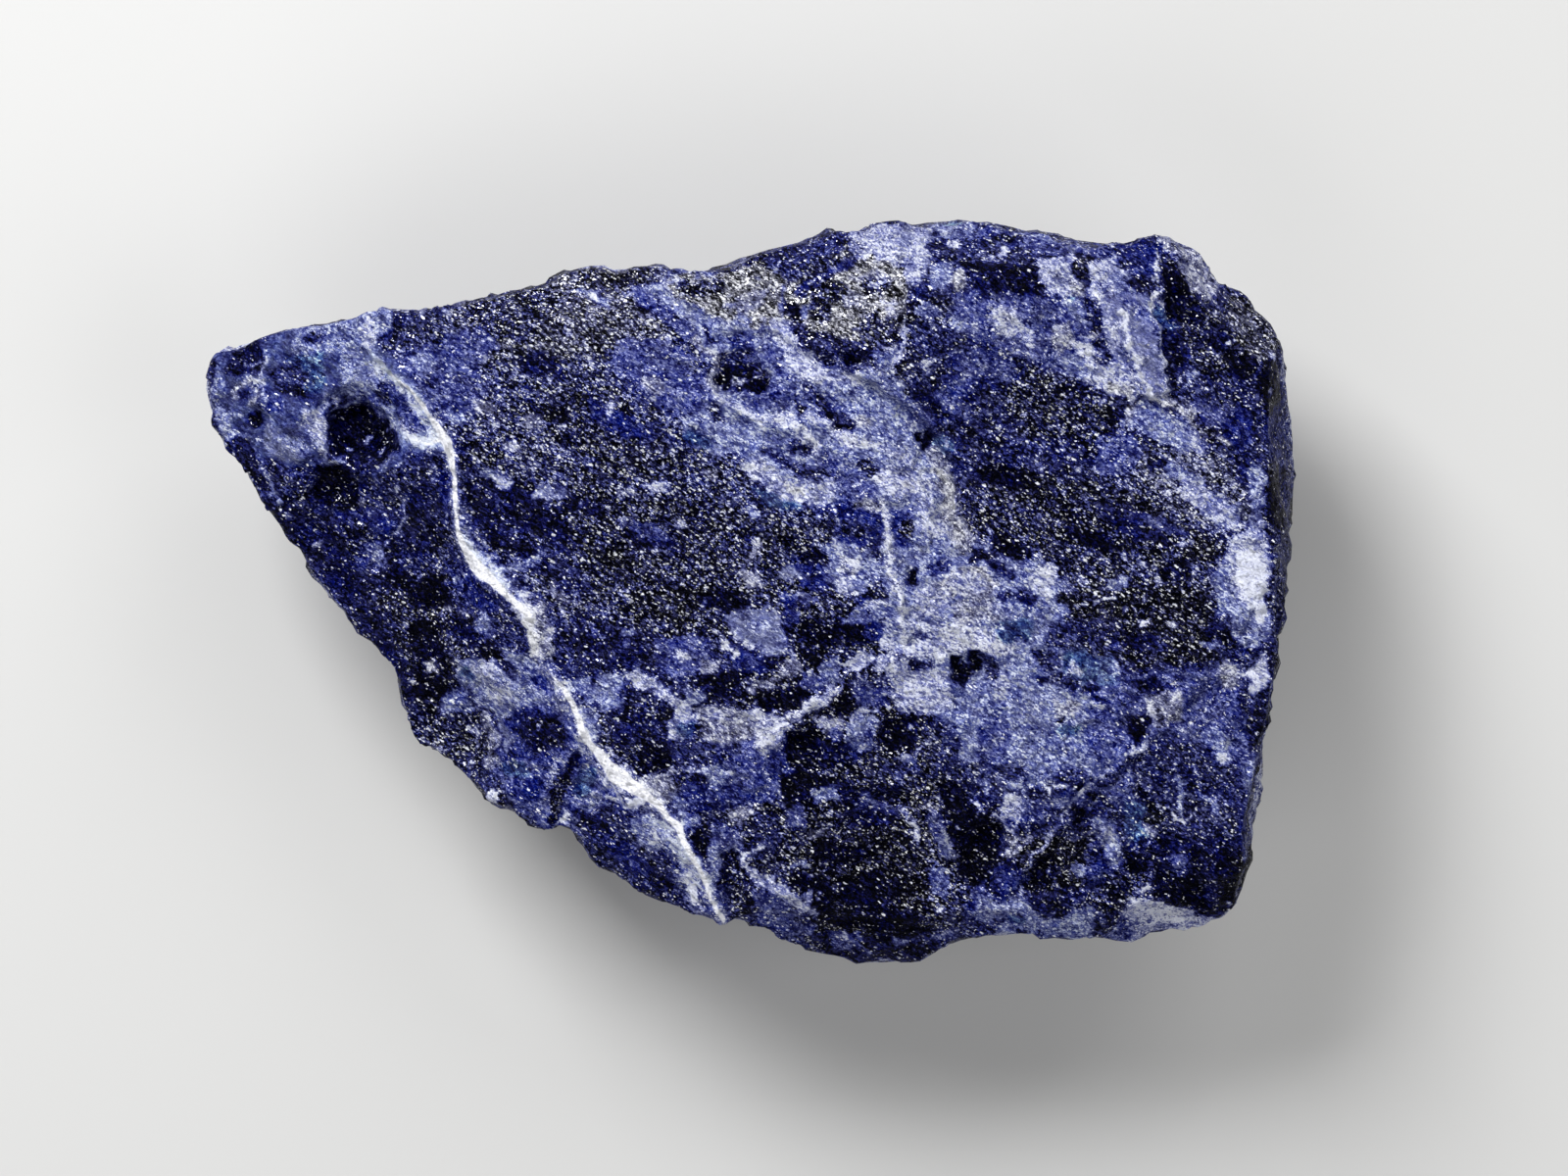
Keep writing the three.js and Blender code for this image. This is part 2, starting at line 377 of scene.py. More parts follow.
# The two flatter, darker plates of the top face.
LEFT_PLATE = patch(
    "plate", (-37, 25), (-27, 31), (-14, 33), (-4, 27), (-5, 20), (0, 15), (0, 10), (10, 7), (13, 3),
    (12, -3), (2, -2), (-6, -6), (-18, -4), (-27, 5), (-29, 14), (-34, 21), soft=1.2,
)
RIGHT_PLATE = patch(
    "plate", (15, 29), (22, 30), (31, 27), (34, 22), (37, 18), (46, 13), (50, 6), (50, -1), (38, -3),
    (28, 3), (21, 4), (20, 13), (14, 22), soft=1.2,
)

BROAD_MARKS = [
    # the left plate and what lies on it
    LEFT_PLATE,
    spot("blue", -32, 22, 5, 3, -30, soft=0.6),
    spot("silver", -18, 28.5, 11, 4.5, 8, soft=0.6),
    spot("blue", -9, 22, 6, 3, -30, soft=0.6),
    *spots("peppered", (-19, 18, 5, 2.6, -20), (-23.5, 28, 2.5, 1.8, 30), soft=0.6),
    spot("peppered", -12, 8, 9, 4, -25, soft=0.7),
    spot("ink", -24, 9, 5, 2.2, -40, soft=0.6),
    *spots("peppered", (-3, 2, 8, 3, -20), (-14, 1.5, 6, 2.2, -20), (-15.5, 18.6, 3.4, 1.8, -25), soft=0.7),
    *spots("navy", (-20, 2, 4, 1.6, -35), (-12, -6, 8, 2.5, -15), soft=0.6),
    # the right plate
    RIGHT_PLATE,
    patch("navy", (16, 27), (24, 28), (31, 23), (36, 17), (34, 12), (24, 11), (16, 18), soft=1.2),
    patch("blue", (19.4, 31), (28, 31), (34, 29), (34, 23.6), (29.6, 22.6), (22, 26), soft=0.9),
    spot("haze", 33.2, 23, 2, 1.2, -30),
    spot("navy", 21.8, 14.6, 2.2, 5, -10, soft=0.5),
    patch("coal", (22.6, 12.8), (27, 12.8), (33, 12), (39, 10.2), (43, 7.6), (47.4, 4.6), (44, 2.2),
        (38, 4.4), (31, 7.6), (25, 9.4), soft=0.9),
    spot("royal", 25, 22.2, 5, 1.6, -20, soft=0.6),
    *spots("peppered", (28, 6.4, 6, 2.2, -12), (35, 3, 5, 2.4, -10), soft=0.7),
    spot("peppered", 36, 7, 8, 3, -20, soft=0.6),
    spot("peppered", 30, 19, 6, 3, -40, soft=0.7),
    # the pale rib and the pale ground round it
    patch("haze", (-6, 27), (0, 26.5), (5, 23), (9, 21), (16, 17), (20, 12), (21, 5), (16, 3), (12, 5),
        (8, 9), (0, 12), (-3, 17), soft=1.4),
    patch("haze", (-5, 33), (-11, 32), (-4, 24), (3, 25), (3, 31), soft=1),
    # the lower right
    patch("haze", (13, 3), (22, 5), (30, 3), (34, -2), (37, -8), (36, -17), (26, -20), (21, -17), (20, -10),
        (12, -7), soft=1.6),
    patch("blue", (34, -8), (49, -8), (51, -18), (50, -23), (40, -24), (35, -20), (34, -18), soft=1.5),
    patch("navy", (34, -21), (50, -22), (50, -29), (40, -33), (28, -35), (24, -30), (27, -24), soft=1.5),
    patch("coal", (31, 0), (42, 1), (47, -1), (47, -7), (40, -7), (33, -6), soft=1.3),
    # the lower middle
    patch("peppered", (-1, -8), (6, -3), (14, -5), (19, -10), (18, -17), (25, -24), (24, -30), (19, -34),
        (8, -37), (2, -33), (-3, -28), (-4, -18), soft=1.5),
    patch("blue", (-5, -13), (4, -14), (5, -21), (-4, -22), soft=1.2),
    patch("peppered", (-12, -2), (-4, 2), (4, 3), (6, -1), (-2, -4), (-9, -5), soft=1),
    # the slope below the vein and the lower left
    patch("navy", (-50, 12), (-44, 10), (-38, 13), (-31, 14), (-30, 5), (-25, 0), (-23, -6), (-30, -18),
        (-37, -10), soft=1),
    patch("ink", (-46, 10), (-40, 9), (-35, 3), (-30, -4), (-30, -14), (-37, -10), soft=1),
    *spots("peppered", (-42, 5, 4, 2.5, -55), (-33, -5, 5, 3, -60), (-31, -14, 4, 3, -30), soft=0.6),
    patch("blue", (-23, -6), (-19, -12), (-16, -18), (-12, -22), (-7, -30), (-14, -28), (-22, -24),
        (-27, -18), (-24, -12), soft=1.2),
    # the pointed end
    patch("mist", (-56, 26), (-40, 29), (-35, 22), (-31, 15), (-38, 12), (-46, 13), (-52, 14), soft=1),
]

TIP_MARKS = [
    patch("ink", (-53.8, 17.4), (-51, 13.8), (-46.5, 8.5), (-40.8, 3.5), (-36, -2), (-38, -5), (-44.5, 2.5),
        (-50.5, 10.2), soft=0.6),
    spot("haze", -54.9, 20.4, 1, 2.6),
    patch("ink", (-54, 22.6), (-53.2, 25.6), (-50.4, 25.8), (-50.2, 22.4)),
    band("ash", 0.25, (-53, 19.4), (-52.5, 21.6), (-51.2, 21.9), (-50.5, 20.4), (-51.4, 19.2)),
    spot("ink", -51.8, 20.4, 0.5, 0.7, 20),
    spot("frost", -50.6, 21.4, 0.5, 0.3, 60),
    spot("black", -51.3, 17.8, 1, 0.7, 25),
    patch("mist", (-49.8, 26), (-47, 26.4), (-46.8, 23), (-49.4, 21.8), soft=0.5),
    patch("teal", (-47.8, 24.4), (-44.2, 24.4), (-43.8, 20.6), (-47.4, 20.4), soft=0.6),
    spot("ink", -47, 20.6, 1.4, 0.6, -15),
    patch("mist", (-49.4, 20.4), (-45.4, 20.2), (-45.6, 17.6), (-48.6, 17.2), soft=0.5),
    spot("royal", -48.8, 19.4, 0.9, 0.7),
    band("pale", 0.2, (-49.9, 24.4), (-50, 21.4), (-49.8, 18.8), (-48.6, 17.6), soft=0.35),
    band("haze", 0.2, (-55, 18.2), (-52.6, 16.6), (-51, 14.5), (-49.2, 10.8), (-48.3, 9.3)),
    patch("slate", (-50, 17.2), (-47.8, 16.9), (-46.5, 15.8), (-45.3, 13.9), (-46.8, 13.3), (-50.2, 14.6)),
    # painted shadow: a thin dark line along the step below the pale band
    band("ink", 0.25, (-47.6, 16.5), (-46.4, 15.4), (-45.3, 13.6), soft=0.25),
    patch("pale", (-46.4, 18.6), (-43.9, 19.2), (-43.8, 15.2), (-44.6, 14.2), (-45.6, 16.2), soft=0.5),
    band("frost", 0.2, (-44.2, 14.3), (-43, 13.7), (-42, 12.6), soft=0.25),
    patch("ink", (-43.8, 17.6), (-42.8, 19.9), (-40, 20.4), (-38, 19.6), (-36.2, 17), (-36.4, 14.4),
        (-39.5, 13), (-43.4, 13.8)),
    # painted shade: black inside the deep pit
    patch("black", (-43.4, 16.6), (-42.4, 18.6), (-40.2, 19.2), (-39.2, 17.6), (-37, 16.4), (-37.2, 14.8),
        (-39.5, 13.6), (-41, 14.4), (-43.2, 14.6), soft=0.25),
    patch("blue", (-40.6, 20.4), (-38.6, 20.2), (-37.2, 18), (-39, 17.8), soft=0.3),
    patch("black", (-45, 13), (-42.6, 13.2), (-40.8, 12), (-40.2, 10), (-41.5, 8.6), (-44, 9.5)),
    band("pale", 0.25, (-43.4, 20.2), (-44.1, 18.6), (-44.2, 17), (-43.9, 15.2), soft=0.25),
    band("haze", 0.18, (-43, 18.6), (-41.4, 19.5), (-39.6, 19.9), soft=0.2),
    band("haze", 0.2, (-42.8, 13.9), (-41, 13.2), (-39, 12.8), (-36.8, 13.8), soft=0.25),
    spot("slate", -40, 16, 0.6, 0.3, 20),
    spot("ash", -40.4, 9.3, 0.6, 0.35, 65),
    band("royal", 0.6, (-45, 8.4), (-42.4, 7.9), (-39.4, 7.8), soft=0.35),
    patch("haze", (-47, 27.4), (-40, 27.6), (-40.4, 24.2), (-46.8, 24.4), soft=0.7),
    patch("haze", (-42.4, 24.2), (-37.6, 24), (-37.8, 20.4), (-41.8, 20.4), soft=0.5),
    patch("haze", (-43, 28.4), (-36.6, 29), (-36.6, 26.6), (-42.6, 26.2)),
    *spots("navy", (-44.8, 26, 1.2, 0.5, 10), (-37.4, 20.2, 1.4, 0.8, -40)),
    patch("navy", (-36, 14), (-32.6, 14.8), (-31.2, 12), (-31, 5), (-31.8, 3.4), (-34.8, 4.2), (-36, 9),
        soft=0.5),
    spot("royal", -31.7, 9.4, 0.6, 2.8),
    patch("ink", (-36, 8.6), (-33.6, 8.2), (-33, 5), (-34.4, 3.8), (-36.2, 5.4), soft=0.7),
    band("pale", 0.1, (-36.4, 13), (-36.5, 10), (-36.2, 8), (-36.7, 6), (-38, 5)),
    spot("royal", -38.2, 7, 1.2, 1.5, 20),
    patch("navy", (-36.8, 20.6), (-34.6, 20), (-32.8, 16.8), (-35.6, 16.2), soft=0.5),
    patch("slate", (-36.6, 17.2), (-34.4, 16), (-32.2, 16), (-32.8, 14.9), (-35.2, 15), soft=0.3),
    patch("blue", (-41.2, 3.6), (-39.6, 5), (-37.8, 4.6), (-37.2, 2.8), (-39.6, 2), soft=0.5),
    *spots("haze", (-38.6, 3.8, 0.9, 0.6, -20), (-42.5, 7, 0.7, 0.4)),
    spot("ash", -44.5, 5.3, 0.5),
    spot("navy", -38, -0.6, 1.6, 1, -50),
    patch("black", (-37.2, 2), (-31.4, 1.6), (-31, -1.4), (-35.6, -2.2), soft=0.9),
    spot("peppered", -36.6, -1, 2, 1.4, -30),
    band("haze", 0.12, (-30.8, 1.7), (-29.2, 1.5), soft=0.35),
    band("haze", 0.12, (-30.4, 0.9), (-29, 0.8), soft=0.35),
    *spots("ash", (-31.8, -1.6, 0.6, 0.35), (-30, -2, 0.6, 0.3)),
    patch("royal", (-30.2, 3), (-28.4, 1.6), (-26, -0.6), (-26.6, -2), (-29.6, -0.4), soft=0.5),
]

LEFT_MARKS = [
    # dark ground, and painted shadow along the right side of the vein's ridge
    spot("peppered", -18.6, 18.6, 2.6, 1.4, -10, soft=0.4),
    spot("black", -19.8, 18.2, 1, 0.7),
    patch("peppered", (-18, 19), (-13, 15.8), (-7.6, 12.4), (-4.6, 9), (-6, 7.6), (-11, 9.6), (-16, 13.4),
        (-19.6, 16.4), soft=0.8),
    patch("royal", (-17.2, 20.4), (-12.4, 18.2), (-9.6, 15.8), (-12, 15.4), (-16.6, 17.4), soft=0.6),
    # painted shadow beside the vein's ridge, on its right side
    patch("ink", (-29.7, 12), (-28, 10.8), (-26.6, 8.2), (-24.8, 6.2), (-22.4, 5), (-21.2, 2.6), (-23.4, 2.4),
        (-26, 4.6), (-28, 7), (-29.4, 9.4)),
    spot("ink", -22.6, 7, 2.6, 0.9, -30),
    spot("ink", -19.4, 5.4, 2.6, 1.4, -30, soft=0.5),
    patch("peppered", (-30, 30), (-25.4, 30.4), (-24, 26.6), (-28.4, 25.6), soft=0.6),
    *spots("ink", (-10.6, 5.6, 2.8, 0.8, -15), (-17.4, 9, 2.4, 0.7, -25)),
    *spots("peppered", (-14.8, 3.4, 4.6, 1.8, -25), (-23.4, 27.4, 2.4, 1.6, 40), (-8.8, 3, 4, 1.6, -15),
        soft=0.5),
    # bluer ground
    patch("blue", (-31.4, 26.6), (-27.4, 27.6), (-26, 25), (-30, 23), (-33, 23.6), soft=0.7),
    patch("blue", (-11, 26.4), (-7, 25), (-5.6, 20.4), (-8.4, 18.2), (-13, 22.4), soft=0.8),
    patch("haze", (-8, 18), (-5.2, 18.6), (-2.8, 15.6), (-3.6, 14), (-6.8, 14.8), soft=0.5),
    spot("teal", -6.2, 15.8, 1.4, 0.7, -30),
    spot("navy", -9.2, 16.4, 1.8, 0.7, -35),
    patch("navy", (-13, 31.6), (-10.4, 30.8), (-6.4, 27.4), (-8.4, 26.6), (-12, 29.4), soft=0.5),
    spot("ink", -4.8, 26.6, 1.2, 0.8, -30),
    # paler pieces
    patch("ash", (-23.8, 18.4), (-21.6, 18.2), (-21.2, 17), (-22.8, 16.6), (-24, 17.2), soft=0.35),
    spot("frost", -19.6, 17.3, 0.45, 0.3),
    patch("ash", (-28.8, 19.6), (-26.6, 19.2), (-26.2, 18.2), (-28.2, 18.4), soft=0.35),
    spot("haze", -30.4, 18.2, 1, 0.6, -35),
    spot("pale", -25.5, 11.6, 1, 0.7, -20),
    spot("haze", -27, 12.2, 0.8, 0.5, -20),
    patch("slate", (-22.4, 10.8), (-19.6, 11.4), (-18.8, 10), (-21, 9.4), (-22.6, 9.9), soft=0.3),
    band("pale", 0.2, (-22.4, 10.2), (-20.8, 9.5), (-18.9, 9.9), soft=0.25),
    spot("pale", -10, 10.9, 1.1, 0.5, -10),
    *spots("ash", (-12.6, 10.2, 1.4, 0.5, -20), (-4.6, 12.4, 0.8, 0.5), (-8, 7.4, 1.5, 0.4, -30)),
    spot("haze", -13.4, 7.2, 0.6, 0.4),
    patch("haze", (-18, 31.4), (-16, 31.2), (-14.6, 29.4), (-16.4, 29.4)),
    spot("frost", -16.4, 30.2, 0.6, 0.3, -45),
    band("pale", 0.2, (-12.4, 31.6), (-10.6, 30.2), (-9.2, 28.6), (-8, 27.4)),
    band("haze", 0.35, (-12, 32), (-8, 29.6), (-5.6, 27), (-5, 26), soft=0.4),
    band("pale", 0.2, (-14.2, 20.1), (-15, 18.5), (-15.8, 17.2), soft=0.2),
    *spots("ash", (-21.4, 22.6, 1.6, 0.5, -20), (-24.6, 15, 1.2, 0.4, -20)),
    spot("haze", -33.6, 23.8, 1.2, 0.8, -20),
    # between the vein and the middle
    band("haze", 0.35, (-27, 1.8), (-24, 3), (-22, 3.6), soft=0.4),
    *spots("peppered", (-11, 8.6, 3, 1.2, -20), (-9.4, -1.6, 2.6, 1.2, -15), (-27.4, 14.4, 2.4, 1, -30),
        soft=0.5),
    spot("ink", -21.8, 23.4, 2.6, 1.2, -20, soft=0.5),
    spot("blue", -11, 6.6, 2, 0.6, -20),
    spot("navy", -16.6, -3.4, 2.2, 0.8, -30),
    patch("ash", (-24.6, -0.6), (-22, -1), (-20.6, -4.2), (-20.2, -7), (-21.8, -6.4), (-22.8, -3)),
    spot("ash", -20.2, -0.2, 1.6, 0.5, -38),
    band("ink", 0.5, (-19.5, -4), (-17, -5.4), (-13, -6), (-9, -6.6), soft=0.35),
    spot("ink", -13.6, -5.6, 3, 1, -20),
    *spots("haze", (-13, -4, 0.6, 0.5), (-6.8, -5.2, 1.6, 0.6, -20)),
    spot("ink", -9, -1.8, 2.4, 1, -15),
    spot("navy", -16.5, -7.6, 2.4, 1.1, -30),
    spot("royal", 6, 1.8, 2.8, 1.2, -15),
    spot("ink", 4.6, 4.6, 2.6, 1.2, -20),
    spot("peppered", 0, 6, 5, 2.4, -15, soft=0.5),
    spot("haze", 0, 8.4, 1.4, 0.4, -15),
]

GREY_MARKS = [
    patch("grey", (-8.4, 29.6), (-9.6, 32), (-4, 32.6), (0.8, 34.2), (3, 31.4), (1.8, 27.4), (-3, 27.6),
        soft=0.7),
    patch("grey", (3, 28), (3.2, 31), (7.6, 34.2), (13.6, 35), (15.6, 32), (15, 27.4), (12.4, 25.6),
        (7, 26.2), soft=0.7),
    patch("peppered", (5, 34), (8.6, 34), (7.6, 31.6), (5, 30.8), soft=0.5),
    spot("peppered", -5.4, 31.2, 2.4, 0.9, 10),
    spot("ash", -0.4, 29.8, 1.8, 1, 30),
    # painted highlight: the pale top edge where its bevel faces the light
    patch("pale", (9.6, 34.4), (10.4, 37), (18, 37.8), (17.6, 34.8), (14.6, 33.6), soft=0.6),
    band("haze", 0.5, (-13, 32.4), (-10.2, 31.4), (-8.5, 30), (-6.5, 29), (-5, 28), (-3.4, 26.6), soft=0.35),
    band("blue", 0.7, (-12, 31), (-9.6, 29), (-8, 27.5), (-6.2, 26.2), soft=0.35),
    spot("pale", -2.5, 29.3, 0.9, 0.5, 10),
    spot("haze", -1, 28, 0.8, 0.5),
    patch("navy", (0.8, 33.6), (1.6, 35.4), (5.6, 36), (5.2, 33.4), (3, 32.4), soft=0.5),
    band("royal", 0.45, (4.5, 30.5), (7, 32), (10, 34), soft=0.35),
    # painted shadow under the rim of the pale rib: a dark line and a black spot
    band("ink", 0.3, (3.5, 28.5), (6, 26.4), (8, 25.7), (10.2, 24.4), (12, 24.5), soft=0.4),
    spot("black", 10.3, 24.3, 1, 0.8),
    spot("ash", 10, 30, 1, 0.7, 40),
    patch("ash", (9.6, 32.2), (12.4, 33.4), (14, 31.8), (11.6, 31), soft=0.5),
    spot("frost", 13.7, 29.2, 0.6, 0.8, 20),
    *spots("peppered", (7, 29.2, 1.1, 1.9, 20), (12, 31.6, 1.2, 0.7), (12.4, 27.4, 1.3, 0.8, -20)),
    spot("haze", 5, 28.8, 0.7, 0.5),
    spot("slate", 16, 36, 1.2, 0.7, 20),
    spot("black", 15.9, 28, 0.8, 0.4),
]

RIB_MARKS = [
    # the dark pocket and its rim
    patch("royal", (-2.6, 26.2), (-0.4, 26.4), (0.4, 24.4), (-2.4, 24.2), soft=0.5),
    patch("navy", (-4, 24.6), (-0.6, 25), (1.2, 23.6), (1.4, 21.2), (-3.9, 20.8), soft=0.5),
    patch("black", (-3.9, 21), (-3.6, 23.4), (-2.2, 23.2), (-0.6, 23.6), (0.4, 22.6), (1.4, 21.9),
        (1.2, 20.9), (-0.6, 21), (-2.2, 20.8), soft=0.3),
    spot("black", -1.6, 23.5, 1.6, 0.7),
    *spots("ash", (-1.6, 22.1, 0.8, 0.4, 10), (0, 22.3, 0.3, 0.25)),
    patch("blue", (-1.4, 20.6), (3.8, 21.2), (4.6, 19.2), (2.4, 18.6), (-0.6, 18.9)),
    spot("royal", 2.2, 20, 1.2, 0.4, -10),
    band("black", 0.35, (4.2, 19), (5.1, 18.4), soft=0.2),
    band("ash", 0.35, (-6.2, 26.2), (-4.7, 25), (-4.2, 23.6), (-4.4, 22), (-4.3, 20.6), soft=0.4),
    # the pale wedge above the rib
    patch("blue", (0.4, 25.6), (1.6, 25.4), (4.6, 22), (4, 21.2), (2.4, 22.4)),
    spot("royal", 2.7, 22.5, 0.9, 0.4, -45),
    patch("pale", (1, 28.2), (2.7, 28), (4.4, 26), (6.4, 23.8), (7.6, 22.2), (6.8, 20.9), (5.2, 21.7),
        (4.4, 22.2), (3.2, 24.2), (2, 26), (1, 27.4), soft=0.35),
    spot("pale", 5.6, 15.6, 1.6, 1, -40),
    band("pale", 0.25, (3.6, 24.6), (4.6, 23.4), (5.8, 22.6)),
    patch("haze", (12.4, 24.6), (14.6, 24.8), (14.4, 22.2), (12.6, 22)),
    spot("ash", 13.9, 25.6, 0.5, 0.8),
    patch("peppered", (10.6, 27.4), (14.6, 28.4), (14.4, 25.8), (11.4, 25.4)),
    patch("pale", (6.8, 22.8), (12.2, 22.9), (13.8, 21.6), (12, 20.6), (7.6, 20.6), soft=0.5),
    # the rib
    patch("haze", (7.4, 21), (13.8, 21.6), (18, 17.8), (17, 16.2), (12.4, 16.2), (9.4, 18.4), soft=0.6),
    patch("haze", (-4.4, 20.4), (0, 18.6), (3, 18.4), (6.4, 18), (9.4, 16.2), (11.6, 15.8), (14.4, 15.2),
        (16.6, 14.2), (18.6, 13.8), (19.6, 11.2), (20, 8), (20.6, 4.6), (17, 4.4), (16.6, 8.8), (14.2, 9.8),
        (12.4, 10.8), (9.6, 13.6), (6.4, 15.8), (4.6, 16.2), (2, 16.2), (-0.4, 16), (-3, 18.2), soft=0.5),
    patch("pale", (12.6, 12.8), (14.8, 12.6), (17.4, 12.2), (18.2, 10), (15, 10.2), (12.9, 10.9), soft=0.5),
    spot("frost", 13.7, 11.8, 1.1, 0.5, -10),
    spot("beige", 16.2, 11, 1, 0.5, -20),
    patch("haze", (-4, 17.8), (0.2, 16.6), (2.6, 15.6), (2.4, 13.4), (0.2, 14), (-3.4, 14.4), soft=0.6),
    patch("blue", (6.6, 14.4), (8, 14.4), (9.6, 13.2), (8.6, 11.6), (6.4, 12.4), soft=0.5),
    spot("ink", 1.2, 14.2, 0.8, 0.35, -20),
    patch("navy", (3, 15.4), (4.4, 15.8), (5.6, 14.8), (5.2, 14), (3.6, 14.3), soft=0.25),
    spot("teal", 4.6, 12.9, 1.8, 0.35, -25),
    spot("ink", 6.3, 11.8, 0.9, 0.4, -30),
    patch("peppered", (10.4, 13.4), (11.6, 13.8), (12.7, 12.8), (12.2, 11.8), (10.8, 12.2), soft=0.3),
    patch("blue", (8.6, 12.2), (10.6, 12.4), (12.6, 10.8), (12, 9.4), (9, 9.4), soft=0.5),
    # the dark strokes across it
    band("navy", 0.75, (5.6, 20.4), (7.2, 18.8), (9.6, 17), soft=0.5),
    band("navy", 0.5, (2.2, 13.8), (4.4, 12.8), (6.6, 12), (8.2, 11), soft=0.4),
    band("ink", 0.35, (6.2, 20.2), (7.2, 18.8), (8.4, 17.5)),
    band("black", 0.22, (8.7, 17.3), (9.9, 16.6), soft=0.2),
    patch("ash", (9.9, 17.8), (11, 18.2), (11.8, 17.2), (11.4, 16.4), (10.2, 16.4), soft=0.3),
    patch("black", (16.9, 15.4), (17.6, 16.4), (19.3, 16.3), (18.6, 15.2), (17.8, 14.6), soft=0.25),
    spot("teal", 19.2, 15.4, 1, 0.8, -20),
    # the lower pale band
    patch("teal", (0, 10.6), (1.6, 10.2), (4.4, 9.4), (4, 8.4), (1.2, 9)),
    patch("pale", (-1.3, 13.6), (0.5, 13.9), (1.7, 12.7), (3.1, 11.8), (4.6, 12), (6.2, 11.2), (8, 11),
        (8.4, 9.4), (7, 8.8), (4.4, 9.5), (2.6, 9.8), (1.3, 10.6), (-0.1, 11.7)),
    spot("frost", 0.2, 12.8, 0.8, 0.4, -40),
    spot("beige", 4, 10.8, 1.1, 0.4, -15),
    spot("frost", 4.6, 9.9, 0.7, 0.25),
    # the ground below it
    patch("royal", (8.6, 9.2), (13, 9.6), (13, 4.6), (9, 4.2), (8.2, 7), soft=0.6),
    spot("navy", 10.4, 6.6, 1.8, 1, -10),
    patch("ash", (9.8, 9.2), (11, 9.5), (12.8, 9.4), (12.6, 8.3), (10.6, 8.5), soft=0.3),
    patch("royal", (13.9, 8.4), (15.8, 8.8), (16.4, 6.8), (15.6, 5), (14, 5)),
    patch("pale", (16.8, 9.8), (18.8, 9.6), (20.4, 5), (18.6, 4.8), (17.2, 6.8)),
    spot("peppered", 15.4, 6.6, 1, 0.9),
    patch("haze", (6.8, 5.4), (8.2, 5.4), (10.8, 4), (10.8, 1.6), (8.6, 1.4), (7.4, 3), soft=0.5),
    spot("white", 9.5, 2.7, 0.9, 0.7),
    band("pale", 0.2, (8.2, 5.2), (8.8, 3.8), (9, 1), (9.2, -1.2)),
    band("pale", 0.15, (8.4, 11), (8.1, 9), (8.4, 7.4), soft=0.25),
    patch("haze", (16.8, 4.4), (20.6, 4.6), (21.2, 2.2), (18, 1), (16.6, 1.8), soft=0.5),
    spot("royal", 18.8, 3, 0.9, 0.4, 10),
    patch("black", (15.3, 2.5), (16.5, 2.6), (16.6, 1.2), (15.4, 1.1), soft=0.2),
]

